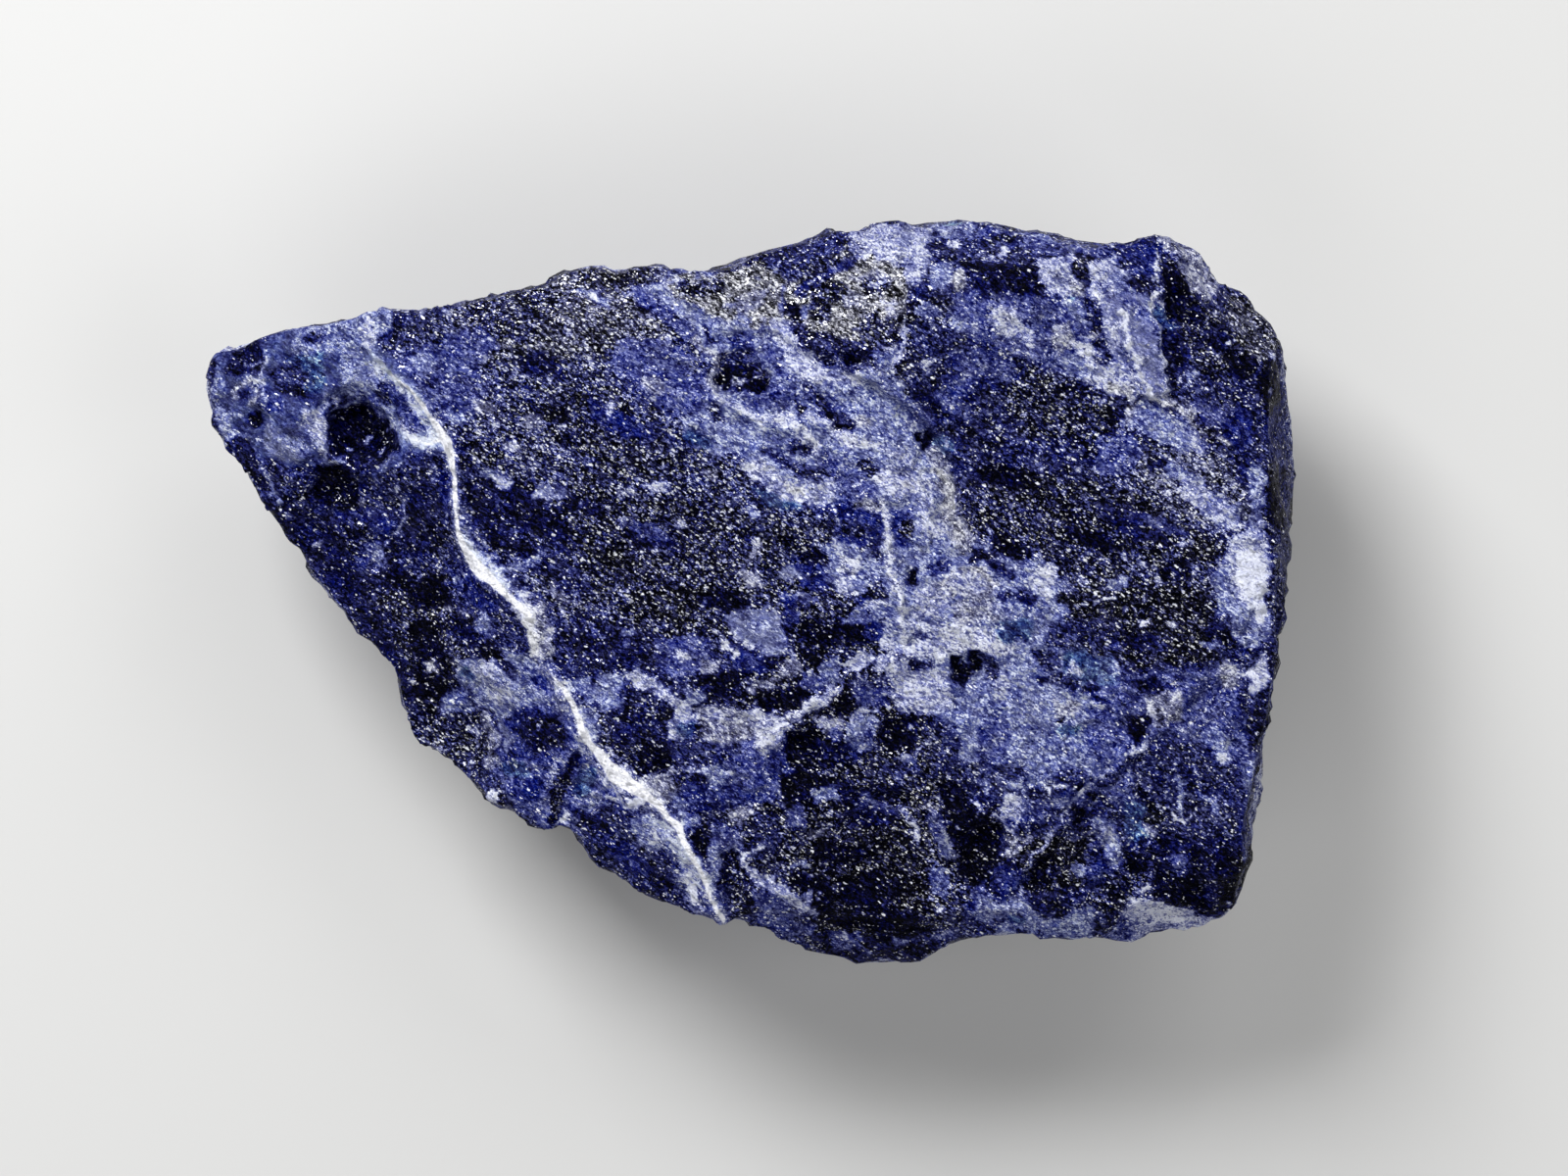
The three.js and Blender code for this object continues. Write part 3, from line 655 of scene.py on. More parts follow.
RIGHT_MARKS = [
    # along the upper edge
    patch("pale", (15.4, 31.6), (16.8, 32), (18.2, 35), (18.4, 37.9), (16, 37.6), (15.6, 34.8), soft=0.5),
    patch("haze", (18.6, 36.4), (22.4, 36.2), (22.4, 37.9), (18.6, 38)),
    patch("navy", (18.6, 34.6), (22.6, 35.8), (30, 34.6), (33, 34.8), (28, 33.2), (19.6, 33.4), soft=0.6),
    patch("blue", (22.6, 37.4), (24, 35.6), (29, 34.9), (36, 34.6), (36, 36.4), (26, 37.8)),
    spot("ink", 18.6, 35.4, 0.9, 0.6, -20),
    spot("frost", 20.5, 35.8, 0.8, 0.3, 10),
    spot("pale", 25, 34.8, 1, 0.35, 20),
    band("haze", 0.2, (26, 37), (28.6, 36.8), (30, 36.4), soft=0.35),
    patch("ink", (22, 32.8), (29.2, 33.2), (29.4, 30.8), (23.6, 30.4), soft=0.6),
    band("black", 0.3, (20.8, 33.5), (23, 33), (25, 33), (27.6, 33.3)),
    spot("haze", 19, 32.4, 1.2, 1.1, -40),
    spot("beige", 20.9, 32, 0.8, 0.9, 30),
    patch("pale", (23.8, 29.2), (26, 29.5), (27.5, 28.2), (26.6, 26.6), (24.8, 27)),
    spot("frost", 25.4, 28.5, 0.9, 0.6, 20),
    patch("pale", (27.2, 27.4), (28.2, 26.4), (29.4, 24.8), (28.4, 25.2), (27, 26.6), soft=0.25),
    *spots("haze", (21, 28, 1.5, 0.5, -35), (17.6, 28.8, 1, 0.8)),
    spot("frost", 20.8, 24.7, 0.5, 0.25),
    spot("blue", 20.4, 21.2, 2, 0.9, -30),
    band("ink", 0.8, (16.6, 20.8), (20, 18.6), (23.4, 17), soft=0.6),
    patch("black", (30.6, 21.4), (33.8, 21), (37, 18.2), (36.6, 16.4), (31.4, 17.4), soft=0.9),
    spot("peppered", 33.6, 18.4, 3, 1.8, -25),
    spot("navy", 30.4, 13.6, 3.6, 1.6, -15, soft=0.5),
    # the pale slab and what surrounds it
    patch("pale", (28.6, 34.2), (32.3, 34.9), (32.6, 32.6), (33.4, 31.4), (31.8, 30.4), (30.4, 30.6),
        (29, 32.2)),
    spot("peppered", 33.2, 33.2, 0.9, 0.7),
    spot("black", 33.3, 32.4, 0.6, 0.4),
    spot("ash", 33.2, 31.2, 0.9, 0.6, -40),
    spot("teal", 32.4, 30, 0.8, 0.5),
    patch("pale", (34.4, 34), (37, 34.6), (37.2, 31.2), (35.6, 29.2), (34.2, 30.4), soft=0.35),
    patch("haze", (36.2, 33), (38.6, 32.6), (38.6, 29), (36.6, 29.6)),
    patch("royal", (37.2, 35.6), (38.2, 32.4), (40.5, 31.6), (40.6, 34.6), (41.4, 35.8)),
    spot("ink", 39, 31.5, 0.9, 0.8, -30),
    patch("satin", (35.6, 29.8), (40.2, 30.4), (40.6, 26.6), (41.5, 24), (41.7, 19.8), (39.8, 19.4),
        (38.6, 23), (36.2, 25), (35.4, 27.6), soft=0.3),
    band("blue", 0.3, (38, 25.4), (38.9, 23.2), (39.7, 21.2)),
    band("haze", 0.3, (40.2, 29.6), (40, 27.4)),
    spot("blue", 38.6, 28.9, 1.4, 0.7, -10),
    band("frost", 0.08, (40.9, 34.2), (40.7, 32), (41, 31), (40.4, 29.5), (40.4, 27.2), soft=0.25),
    band("pale", 0.1, (36.4, 29.6), (35.8, 28), (35.8, 26.4)),
    patch("ash", (30.2, 27.2), (31.8, 27.8), (33, 26), (32.4, 24.6), (30.4, 25.2), soft=0.35),
    patch("haze", (31.4, 29.8), (33.4, 30.2), (33.6, 28.4), (32, 28.2)),
    patch("pale", (32.2, 25.6), (33.6, 25.9), (34.9, 24.9), (35.2, 23.2), (34, 22.6), (33.6, 24), soft=0.5),
    spot("frost", 33.8, 24.8, 0.9, 0.5, -40),
    spot("ash", 34.6, 26.6, 0.8, 0.4, 20),
    patch("pale", (33.4, 21.4), (35, 23.2), (37.6, 24), (39.4, 22.4), (39.8, 20.2), (38.4, 19.2),
        (36.4, 20.2)),
    patch("ash", (43, 35.8), (45.6, 33.6), (47.6, 31.2), (46.4, 29.9), (44.4, 31.6), (42.8, 34)),
    patch("beige", (35.8, 21.8), (38.6, 20.8), (38, 19.6), (35.8, 20.6), soft=0.3),
    patch("haze", (38, 19.4), (40.4, 19.2), (44.4, 17.4), (46.4, 15.6), (44.6, 14), (40.4, 16), (37.6, 17.4),
        soft=0.6),
    *spots("ash", (43.6, 19.4, 2.4, 0.5, -25), (38.2, 18.4, 0.7, 0.8)),
    spot("pale", 45.4, 15, 0.9, 1.2, 30),
    patch("blue", (35, 16.2), (38.6, 16), (40, 14), (37.4, 12.4), (34.8, 12.8), soft=0.6),
    # the dark corner at the upper right, and painted shade on the end wall's shadow side
    patch("teal", (40.7, 29.6), (43, 29), (43.2, 26.2), (41.6, 26.4)),
    patch("ink", (41.4, 27), (44, 27.4), (44.4, 23.4), (42.2, 21.8), (41.8, 24.4), soft=0.5),
    patch("peppered", (42.2, 33.6), (45.2, 30.4), (49.2, 27), (50.8, 24), (48, 21.6), (44.6, 23.4),
        (43.4, 27.4), soft=0.6),
    patch("black", (41.6, 34.2), (43.8, 32), (45.8, 29.2), (45, 27.4), (42.6, 28.6)),
    patch("black", (48.2, 24.8), (51.2, 24.6), (51.2, 21.6), (48.6, 22), soft=0.5),
    patch("ash", (40.8, 36), (43, 36), (44.4, 34), (42.4, 34.4), (41.2, 35.2), soft=0.3),
    spot("frost", 48.1, 25.6, 0.4, 0.7, 10),
    spot("haze", 44.6, 22.2, 0.9, 0.4, 30),
    patch("silver", (47.6, 30.8), (50.6, 29.6), (53.6, 24.8), (52.6, 23), (50, 24.8), (48.8, 27.8), soft=0.5),
    spot("pale", 52.6, 24.3, 0.5),
    patch("navy", (43.4, 21.6), (51, 21.6), (52.2, 14), (50.6, 10), (46.8, 14.4), (45.6, 17.6), soft=0.8),
    spot("royal", 49.4, 16.8, 1.4, 2.2),
    spot("blue", 46.6, 18.6, 2.2, 1.2, -30),
    # painted shade on the end wall's shadow side
    patch("black", (51.5, 24.2), (53.6, 23.4), (54.3, 18.6), (52, 18), soft=0.5),
    patch("royal", (52.2, 17.4), (54.8, 17), (55.2, 13.6), (52.4, 13.4), soft=0.5),
    # more painted shade on the end wall's shadow side
    patch("black", (52, 12.6), (54, 12.4), (53.8, 7), (52.4, 7)),
    # the right plate
    patch("sand", (38.8, 12.6), (40.4, 15), (44.6, 14.2), (49.2, 13.6), (50.4, 8.6), (49.6, 6.4), (45.6, 7.2),
        (41.8, 9.4), soft=0.8),
    band("haze", 0.6, (51.2, 12.4), (51, 9.4), (50.8, 6.6), soft=0.35),
    *spots("haze", (47.4, 8.6, 2.4, 1.4, -30), (43.4, 12.4, 3, 0.8, -35), soft=0.5),
    patch("ink", (33.8, 9.6), (38.8, 9.4), (42.4, 7), (41.8, 4.8), (37, 6.4), soft=0.7),
    band("pale", 0.1, (33.6, 3.7), (36, 3.3), (38, 3), (40.2, 3.2), soft=0.25),
    band("pale", 0.12, (36.8, 0.9), (38.2, 1.5), (40, 2.4), soft=0.25),
    spot("haze", 37.2, 1.2, 1.2, 0.6, 25),
    spot("frost", 36, -0.3, 1.2, 0.2, 10),
    spot("ash", 41.3, 1.8, 0.6, 0.4),
    spot("frost", 35, -1.1, 0.4, 0.25),
    patch("haze", (46.4, 1.6), (48.8, 4), (50.4, -2), (47.4, -2.4), soft=0.6),
    patch("haze", (48.4, -1.6), (52.4, -1.2), (52.4, -5), (49.6, -5.6), soft=0.6),
    patch("pale", (48.3, 5.6), (50.6, 6.4), (51.8, 8), (52.4, 5), (52.2, 2), (52.4, -1.6), (51, -2.4),
        (49.8, -0.8), (48.4, 1.4), (48, 3.8)),
    patch("white", (48.9, 4.2), (50.4, 5), (51.4, 3), (52.1, -0.4), (51.6, -1.4), (50.2, -0.4), (48.8, 2)),
    spot("white", 51.1, -8.6, 1.8, 1, 70),
    spot("ash", 48.6, -8.6, 0.8, 1.4),
]

LOWER_LEFT_MARKS = [
    patch("black", (-35.2, -2.6), (-32.2, -2.4), (-31.4, -7), (-34.4, -7.6), soft=0.7),
    patch("black", (-35, -8.4), (-31.4, -8.4), (-31.2, -10.6), (-33.6, -11.2), (-35, -10.4)),
    patch("beige", (-33.8, -6.8), (-32.8, -6.8), (-32, -8.2), (-33.2, -8.2), soft=0.3),
    spot("ink", -29.6, -3.4, 1.8, 1.2, -40),
    patch("black", (-28.2, -5), (-27, -4.8), (-25.9, -5.8), (-26, -7), (-26.8, -7.4), (-28, -6.5), soft=0.3),
    patch("haze", (-30.8, -6.6), (-28.4, -6.4), (-28, -8.6), (-30.4, -9.6), soft=0.5),
    spot("teal", -28.9, -8, 1, 0.7),
    patch("haze", (-29.4, -8.8), (-23, -7.6), (-19.4, -9.4), (-21.4, -11.4), (-25.8, -12.6), (-28.4, -11.6),
        soft=0.7),
    patch("pale", (-27.6, -8.6), (-25, -8.6), (-24.6, -10.6), (-26.4, -11.6), soft=0.5),
    spot("royal", -21.4, -9.4, 1.4, 0.9, -20),
    band("royal", 0.25, (-25.4, -6.9), (-23.6, -7.4), (-22.2, -8)),
    patch("haze", (-31.8, -9.8), (-29.4, -9.6), (-28.8, -12.2), (-30.8, -13.2), (-32, -11.8)),
    patch("peppered", (-33, -12.4), (-27.4, -12.2), (-26.8, -16), (-31, -16.4), (-34, -14.4), soft=0.6),
    band("ash", 0.5, (-27.6, -12.6), (-26.6, -14.2), (-26.6, -17.2), soft=0.5),
    spot("royal", -22.4, -14.4, 4, 2.8, 10),
    spot("ink", -21.6, -14.2, 2.8, 2, 15),
    spot("slate", -25.4, -14.6, 0.6, 1.8),
    spot("blue", -19.3, -12.8, 0.7, 1.6, 25),
    patch("blue", (-26.2, -17.4), (-22, -16.8), (-20.8, -18.4), (-21.6, -22.6), (-24.4, -22), soft=0.6),
    spot("royal", -23, -19.6, 1.4, 1.6),
    spot("teal", -24.2, -18, 1.4, 0.7),
    *spots("frost", (-26.4, -20.4, 0.9, 0.5, -20), (-19.3, -23, 0.8, 0.35, 20)),
    *spots("ash", (-27.4, -17.4, 0.9, 0.4, -40), (-32.6, -15.4, 1.6, 0.3, -25)),
    # painted shade: the black crescent on the face of the step beside it
    patch("black", (-18, -15.8), (-17.5, -16.6), (-18.9, -19), (-19.8, -21), (-20, -23.2), (-21.2, -23.3),
        (-21.2, -21.6), (-20.3, -19.6), (-19.2, -17.6), soft=0.3),
    spot("peppered", -20, -20.4, 0.5, 2.2, -15),
    band("pale", 0.1, (-19.6, -17.2), (-20.9, -20), (-21.6, -22.6), soft=0.25),
    patch("blue", (-17.4, -16.2), (-14.4, -19.6), (-14.8, -21.4), (-19.2, -21.6), (-19, -19), soft=0.5),
    spot("teal", -17.6, -19.4, 1, 1.4, -20),
    patch("haze", (-17.2, -20.4), (-15.5, -20.2), (-14.8, -21.6), (-17.2, -22), soft=0.3),
    spot("royal", -14.8, -20.6, 0.7, 0.9, 20),
    patch("pale", (-14, -21.4), (-11.6, -20.4), (-10.6, -21), (-12.6, -21.8)),
    patch("navy", (-18.6, -22.2), (-12.4, -21.8), (-9.2, -25.2), (-6.6, -30.6), (-10.6, -30.8),
        (-16.6, -27.4), soft=0.5),
    spot("royal", -12.6, -27.2, 3.2, 1, -35),
    *spots("ink", (-16.2, -23.6, 1.6, 1.1, -20), (-10, -28.8, 2.2, 1, -35)),
    patch("haze", (-12.6, -22.8), (-9, -22.8), (-8, -25.6), (-10.4, -26.4), (-12.4, -24.6), soft=0.5),
    spot("frost", -10.2, -24.6, 0.35, 0.8, 30),
    patch("haze", (-9.4, -24.4), (-7.2, -24.4), (-5, -29), (-5.2, -30.4), (-7.4, -28), soft=0.5),
    spot("blue", -6.6, -28.2, 1, 1.3, 20),
    patch("pale", (-7, -29), (-5.9, -29.4), (-5.9, -31.6), soft=0.3),
    spot("royal", -4.6, -31.8, 0.5, 0.9, 20),
    patch("plate", (-15.6, -12), (-13, -10.5), (-10.2, -10.8), (-8.8, -14), (-8.6, -18.4), (-12.2, -19),
        (-14.6, -16.6), (-15.8, -14.2), soft=0.6),
    spot("ink", -12.6, -13, 2, 2.4, -30, soft=0.6),
    spot("ink", -9, -13.4, 1.6, 1.8, soft=0.5),
    patch("black", (-11.4, -14), (-8.6, -15.4), (-8.6, -18), (-11.8, -18.4), soft=0.6),
    patch("haze", (-17.6, -11), (-16, -12), (-16, -15), (-17.2, -15), soft=0.5),
    spot("navy", -17.4, -9.6, 1.6, 0.8, -35),
    patch("ash", (-12.2, -19), (-8.2, -17.8), (-7.4, -20.2), (-9.4, -21.6), soft=0.5),
    patch("haze", (-8.6, -20.6), (-6.4, -20.8), (-5.6, -23.6), (-7.6, -23.6)),
    band("pale", 0.6, (-12.4, -8.4), (-10, -9.6), (-8, -11), (-7, -12.6), soft=0.35),
    spot("haze", -14.6, -9, 1.6, 0.8, -20),
    band("beige", 0.25, (-22.8, -2.4), (-22.3, -4.4), (-22.1, -6), soft=0.4),
    patch("haze", (-25.4, -5.4), (-22.8, -6), (-21.8, -7.6), (-24.4, -7.2), soft=0.5),
]

MIDDLE_MARKS = [
    # the dark ground above the pale streak
    spot("black", -3, -0.6, 2.8, 1, -5, soft=0.5),
    patch("coal", (-12, 0.6), (-6, 0.8), (-5.4, -1.6), (-8.6, -2.6), (-12.4, -1.6), soft=0.6),
    patch("peppered", (3.6, 0.2), (8, 0.6), (12.6, -0.4), (13.4, -3), (12.4, -5.6), (7.2, -5.6), (4, -5.4),
        (3.2, -2.4), soft=0.6),
    patch("black", (5, -2.8), (12, -2.8), (12.6, -5.2), (7.4, -5.4), (4.6, -4.8), soft=0.5),
    patch("royal", (10.4, -0.4), (12.8, -1), (13, -5), (11.6, -5.4), (10.8, -3)),
    patch("royal", (2.6, -0.8), (5.4, -1), (5, -3), (3.4, -3.2)),
    patch("slate", (-3, -2.5), (-1, -1.4), (0.7, -1.2), (2.3, -2.6), (3.1, -4.6), (3.3, -6.2), (1.6, -6.2),
        (-0.6, -5), (-2.5, -4.2)),
    band("pale", 0.2, (-2.6, -4), (-1.4, -4.6), (-0.4, -5.5), soft=0.25),
    spot("haze", 0.4, -3.2, 1.4, 0.6, -20),
    band("pale", 0.15, (0.3, 3.5), (0.5, 0.6), (1.3, -1.4), (2.6, -3.4), (3.4, -5.4), (3.8, -7), soft=0.25),
    patch("royal", (-1.6, -5.6), (1.2, -6.4), (2.4, -6.8), (0.6, -8.4), (-2, -8), soft=0.5),
    patch("blue", (-10.4, -4.8), (-5, -4.4), (-4.4, -6.8), (-7.2, -8.8), (-9.8, -7.8), soft=0.5),
    spot("frost", -7.4, -6.2, 0.8, 0.4, -20),
    band("frost", 0.2, (-4.2, -4), (-3.2, -5.2), (-2, -6.6)),
    patch("ash", (-5.4, -6.8), (-3.6, -6.6), (-3.4, -8), (-5.2, -8.2), soft=0.3),
    patch("black", (-5.8, -8.2), (-2.2, -7.9), (-1.6, -9.4), (-5.4, -9.6)),
    patch("ink", (-7.4, -9.6), (-1.8, -9.4), (-1.2, -11.2), (-6.6, -11.4)),
    patch("black", (4.3, -5.8), (7.2, -6), (7, -7.2), (6, -7.6), (4.8, -7.4), soft=0.3),
    spot("haze", 9.8, 2.2, 3, 2, 10, soft=0.5),
    spot("frost", 9.7, 2.7, 1.2, 0.8, 10),
    *spots("pale", (9.2, 0.8, 0.8, 1.2), (11.6, -1.2, 1.6, 0.5, 20)),
    spot("blue", 4.6, -0.4, 2.4, 0.6),
    # pale pieces and the streak
    patch("ash", (-0.9, -9.6), (0.8, -8.8), (2.4, -8), (2.9, -6.7), (4.3, -6.8), (4.9, -8), (3.4, -8.7),
        (1.6, -9.5), (-0.4, -10.1), soft=0.25),
    patch("haze", (6.3, -7.2), (8.2, -6.2), (9.2, -6.8), (8.8, -8.4), (7, -8.8), soft=0.3),
    patch("blue", (4.8, -8.2), (6.8, -8.6), (7.6, -9.4), (6.4, -10), (4.6, -9.6), soft=0.3),
    spot("pale", 10.6, -6.8, 1.6, 0.5, 10),
    patch("black", (0.3, -10), (5, -9.6), (5.6, -10.6), (3.4, -11.8), (1, -12.5), soft=0.3),
    patch("black", (7.8, -9.8), (9.6, -9), (10.4, -11), (9.6, -12.2), (7.8, -12)),
    patch("blue", (9.6, -8.6), (13.2, -8.2), (13.6, -11.4), (11.4, -12), (10.2, -10.6)),
    patch("ash", (-6.2, -11.6), (-3, -11.8), (-0.4, -12.4), (0, -14.6), (-2.4, -15.2), (-5.6, -14.4)),
    spot("pale", -4, -12.6, 1.3, 0.4, -15),
    patch("pale", (-8.6, -10.4), (-6.5, -10.8), (-6.1, -13), (-6.6, -14.8), (-8.6, -15)),
    spot("teal", -6.9, -14, 0.8, 0.7),
    patch("pale", (1, -13.3), (3, -12.2), (4.6, -11.4), (6, -10.6), (7.8, -9.9), (7.3, -11.2), (6, -12.1),
        (4.4, -12.9), (3, -13.7), (2.1, -14.4), soft=0.2),
    patch("pale", (-0.8, -11.8), (1.8, -12.2), (3, -13.8), (2.6, -15.8), (0.6, -16.4), (-0.4, -14.6),
        soft=0.3),
    spot("frost", 1, -14.2, 1.1, 1),
    # below the streak
    patch("black", (3.3, -13.8), (5.4, -13.2), (7, -14.4), (6.4, -17.8), (5, -18.6), (3.6, -17.6), soft=0.3),
    patch("ink", (6.4, -14.8), (9.4, -15), (11.6, -16.2), (10, -17.6), (6.2, -17.8), soft=0.5),
    patch("ash", (5.8, -12.6), (8.8, -12.4), (9, -13.8), (6.6, -14.1), soft=0.3),
    spot("pale", 6.4, -13.1, 0.5, 0.3, 20),
    spot("blue", 7.9, -14.2, 0.9, 0.7, -20),
    patch("haze", (9.2, -13), (11.4, -12.4), (12.8, -13.2), (12.4, -15.8), (10.4, -16.4), (9.4, -14.8)),
    band("pale", 0.2, (9.6, -12.6), (11.2, -12.2), (12.6, -12)),
    patch("black", (13, -12.6), (16, -12.6), (16.8, -14.4), (15.8, -16), (13.6, -15.8)),
    patch("haze", (14.4, -16.8), (16.6, -16.2), (17, -18), (14.8, -18.6)),
    band("pale", 0.15, (12.6, -18.1), (14.6, -17.8), (15.6, -16.6), (17.2, -15.6), (18.4, -14.6), soft=0.25),
    patch("royal", (1.3, -15.6), (3.1, -15.4), (3.4, -18.2), (1.6, -18.2), soft=0.3),
    patch("black", (2.6, -18.4), (6.2, -18.8), (6, -21.6), (2.8, -21.4), soft=0.5),
    # round the black hole
    patch("pale", (15.8, 0.6), (18.6, 0.8), (19.6, -0.6), (19, -2.2), (16.2, -2.2)),
    patch("pale", (13.4, -2.6), (19.8, -3), (25, -3.6), (25.4, -6), (18, -6.6), (13, -5.8), soft=0.5),
    spot("blue", 17.4, -4.4, 1.6, 0.5, -20),
    patch("pale", (13, -7.4), (19.6, -7.8), (20.6, -12.8), (14.6, -12), soft=0.5),
    spot("frost", 20.6, -4.8, 1.6, 0.7, -20),
    *spots("pale", (16.6, -9.2, 1.5, 0.7, -10), (18.8, -10.8, 1.2, 0.6, 15)),
    patch("navy", (16, -6.8), (17.8, -6.9), (18.1, -7.7), (16.2, -7.5), soft=0.25),
    patch("navy", (-8.4, -15), (-1.4, -15.4), (-1.4, -17.2), (-8, -17.6), soft=0.5),
    patch("blue", (-2.4, -16), (1.4, -16), (1.6, -19.8), (-2, -20), soft=0.5),
    band("pale", 0.15, (-8, -18.2), (-4.4, -17.8), (-2.4, -18.6)),
    patch("royal", (-7.6, -19.4), (-1, -19.2), (-1, -22), (-7, -22.4), soft=0.7),
    patch("haze", (-5.2, -17.8), (-3.4, -17.8), (-3.2, -19.6), (-5, -19.8)),
    patch("ash", (-2.6, -22), (-0.2, -21.9), (-0.4, -23.2), (-2.4, -23.2), soft=0.3),
    patch("blue", (-4.4, -23.6), (-1.4, -23.8), (-1.2, -26), (-4, -26.6), soft=0.5),
    spot("navy", 1, -24.8, 1.8, 2.6, soft=0.5),
    spot("black", -5.4, -25.6, 0.9, 1.4, 10),
    patch("haze", (6, -19.8), (8.6, -19.6), (8.9, -21.2), (6.6, -21.4), soft=0.35),
    *spots("black", (6.2, -21.2, 0.5), (6.6, -18.8, 2.2, 0.6, -10)),
    patch("ash", (4.6, -24.9), (6.2, -24), (8, -23.9), (8.8, -25.2), (6.4, -25.2), soft=0.3),
    patch("blue", (3, -21.8), (5, -21.4), (5.4, -23.6), (3.4, -23.8), soft=0.5),
    patch("ink", (8.6, -19.4), (14.6, -19.2), (15, -23.6), (9, -24.2), soft=0.7),
    band("blue", 0.4, (10.6, -20.6), (12.6, -21.8), (14.6, -22.4), soft=0.35),
    spot("white", 10.4, -21.2, 0.22, 0.2),
    patch("coal", (5, -25.6), (8, -23.8), (14.6, -23.6), (17, -26.4), (18, -32), (13, -35.6), (6.4, -34.6),
        soft=0.8),
    patch("black", (8.6, -29.4), (12.6, -28), (15.4, -30), (14, -33.4), (9.4, -33.6), soft=0.8),
    patch("black", (3.8, -28.4), (8, -29), (8, -33.6), (5.4, -31.4), soft=0.7),
    spot("haze", 4.6, -27.6, 1.1, 0.4, 5),
    spot("pale", 5.7, -30.8, 0.6, 0.5),
    patch("black", (-3.5, -28), (-3, -26.4), (-1.6, -26.2), (-1.3, -27.5), (-0.9, -29), (-0.5, -30.5),
        (0, -32.2), (-1.2, -32.6), (-2.4, -31), (-3.4, -29.6), soft=0.3),
    spot("peppered", -1.9, -29.8, 1, 2.2, 12),
    patch("blue", (-4.8, -27.6), (-3.7, -27.6), (-3.6, -30), (-2.6, -31.6), (-2.8, -32.8), (-4, -31.2),
        soft=0.3),
    patch("pale", (-1, -27.2), (1.4, -28.6), (3.2, -29.8), (5, -31.2), (6.4, -32.8), (5, -32.6), (2.6, -30.8),
        (0.2, -30), (-0.8, -28.6)),
    patch("blue", (-0.4, -30.4), (1.6, -30.4), (5, -32.8), (6.4, -34), (5, -35.4), (1, -34.2)),
    spot("blue", 2.2, -31.6, 1.4, 0.7, -35),
    spot("black", 10.6, -33.4, 3.4, 0.8, -3),
    patch("ink", (5.4, -34.6), (16, -34.8), (20, -35.6), (12, -38.4), (7.4, -37.2), soft=0.6),
    patch("blue", (7.6, -34.4), (11.2, -34.4), (10.8, -36.2), (8.2, -36.6)),
    spot("haze", 15.2, -35.2, 1.3, 0.5, 20),
    spot("black", 12.8, -35.2, 0.9, 0.7),
    patch("frost", (15.2, -22.2), (15.8, -22.6), (16.9, -24.2), (17.2, -26), (16.2, -24.8), (15.7, -23.4),
        soft=0.25),
    patch("beige", (17.2, -21.6), (18, -21), (18.7, -21.6), (18.2, -22.2), soft=0.25),
    patch("blue", (17.5, -22.4), (19.4, -22.2), (19.9, -24), (18.2, -24.6), soft=0.3),
    patch("haze", (18.4, -24.2), (19.8, -23.6), (20.4, -25.6), (20, -27.3), (18.6, -27), soft=0.3),
    band("pale", 0.1, (17.4, -27), (18.8, -28)),
    patch("haze", (18, -28.3), (19.6, -28), (19.9, -30.2), (19.6, -31.5), (18.3, -30.5), soft=0.3),
    spot("frost", 19.2, -32.4, 0.5, 0.3),
    patch("black", (18.8, -19), (21.4, -19.4), (22, -22.4), (20.4, -23.4), (19.4, -21.8)),
    patch("black", (19.2, -20.4), (21.8, -21.2), (25, -24), (25.2, -28.6), (23.6, -30), (21, -29.6),
        (20.6, -26)),
    band("frost", 0.1, (22.4, -21), (23.8, -22.2), (25.2, -23), soft=0.35),
    spot("haze", 23.4, -19.6, 0.8, 0.6),
    patch("blue", (21.8, -30), (24, -30.2), (24, -33.2), (21.8, -33.2), soft=0.3),
    spot("royal", 22.6, -31.6, 0.6, 0.9),
    patch("haze", (24, -31.4), (27.4, -30.6), (29.8, -34.2), (24.6, -34.4)),
    patch("royal", (24.2, -28.6), (26.4, -26.8), (27.4, -28.6), (26, -31), (24.2, -31.6)),
    spot("black", 24.8, -33.4, 0.4, 0.3),
    spot("teal", 26.6, -33.4, 1, 0.4),
    patch("navy", (20, -32), (21.8, -32), (21.8, -34.6), (20, -34.6)),
    spot("blue", 19.4, -34.8, 1.4, 0.4, 10),
]

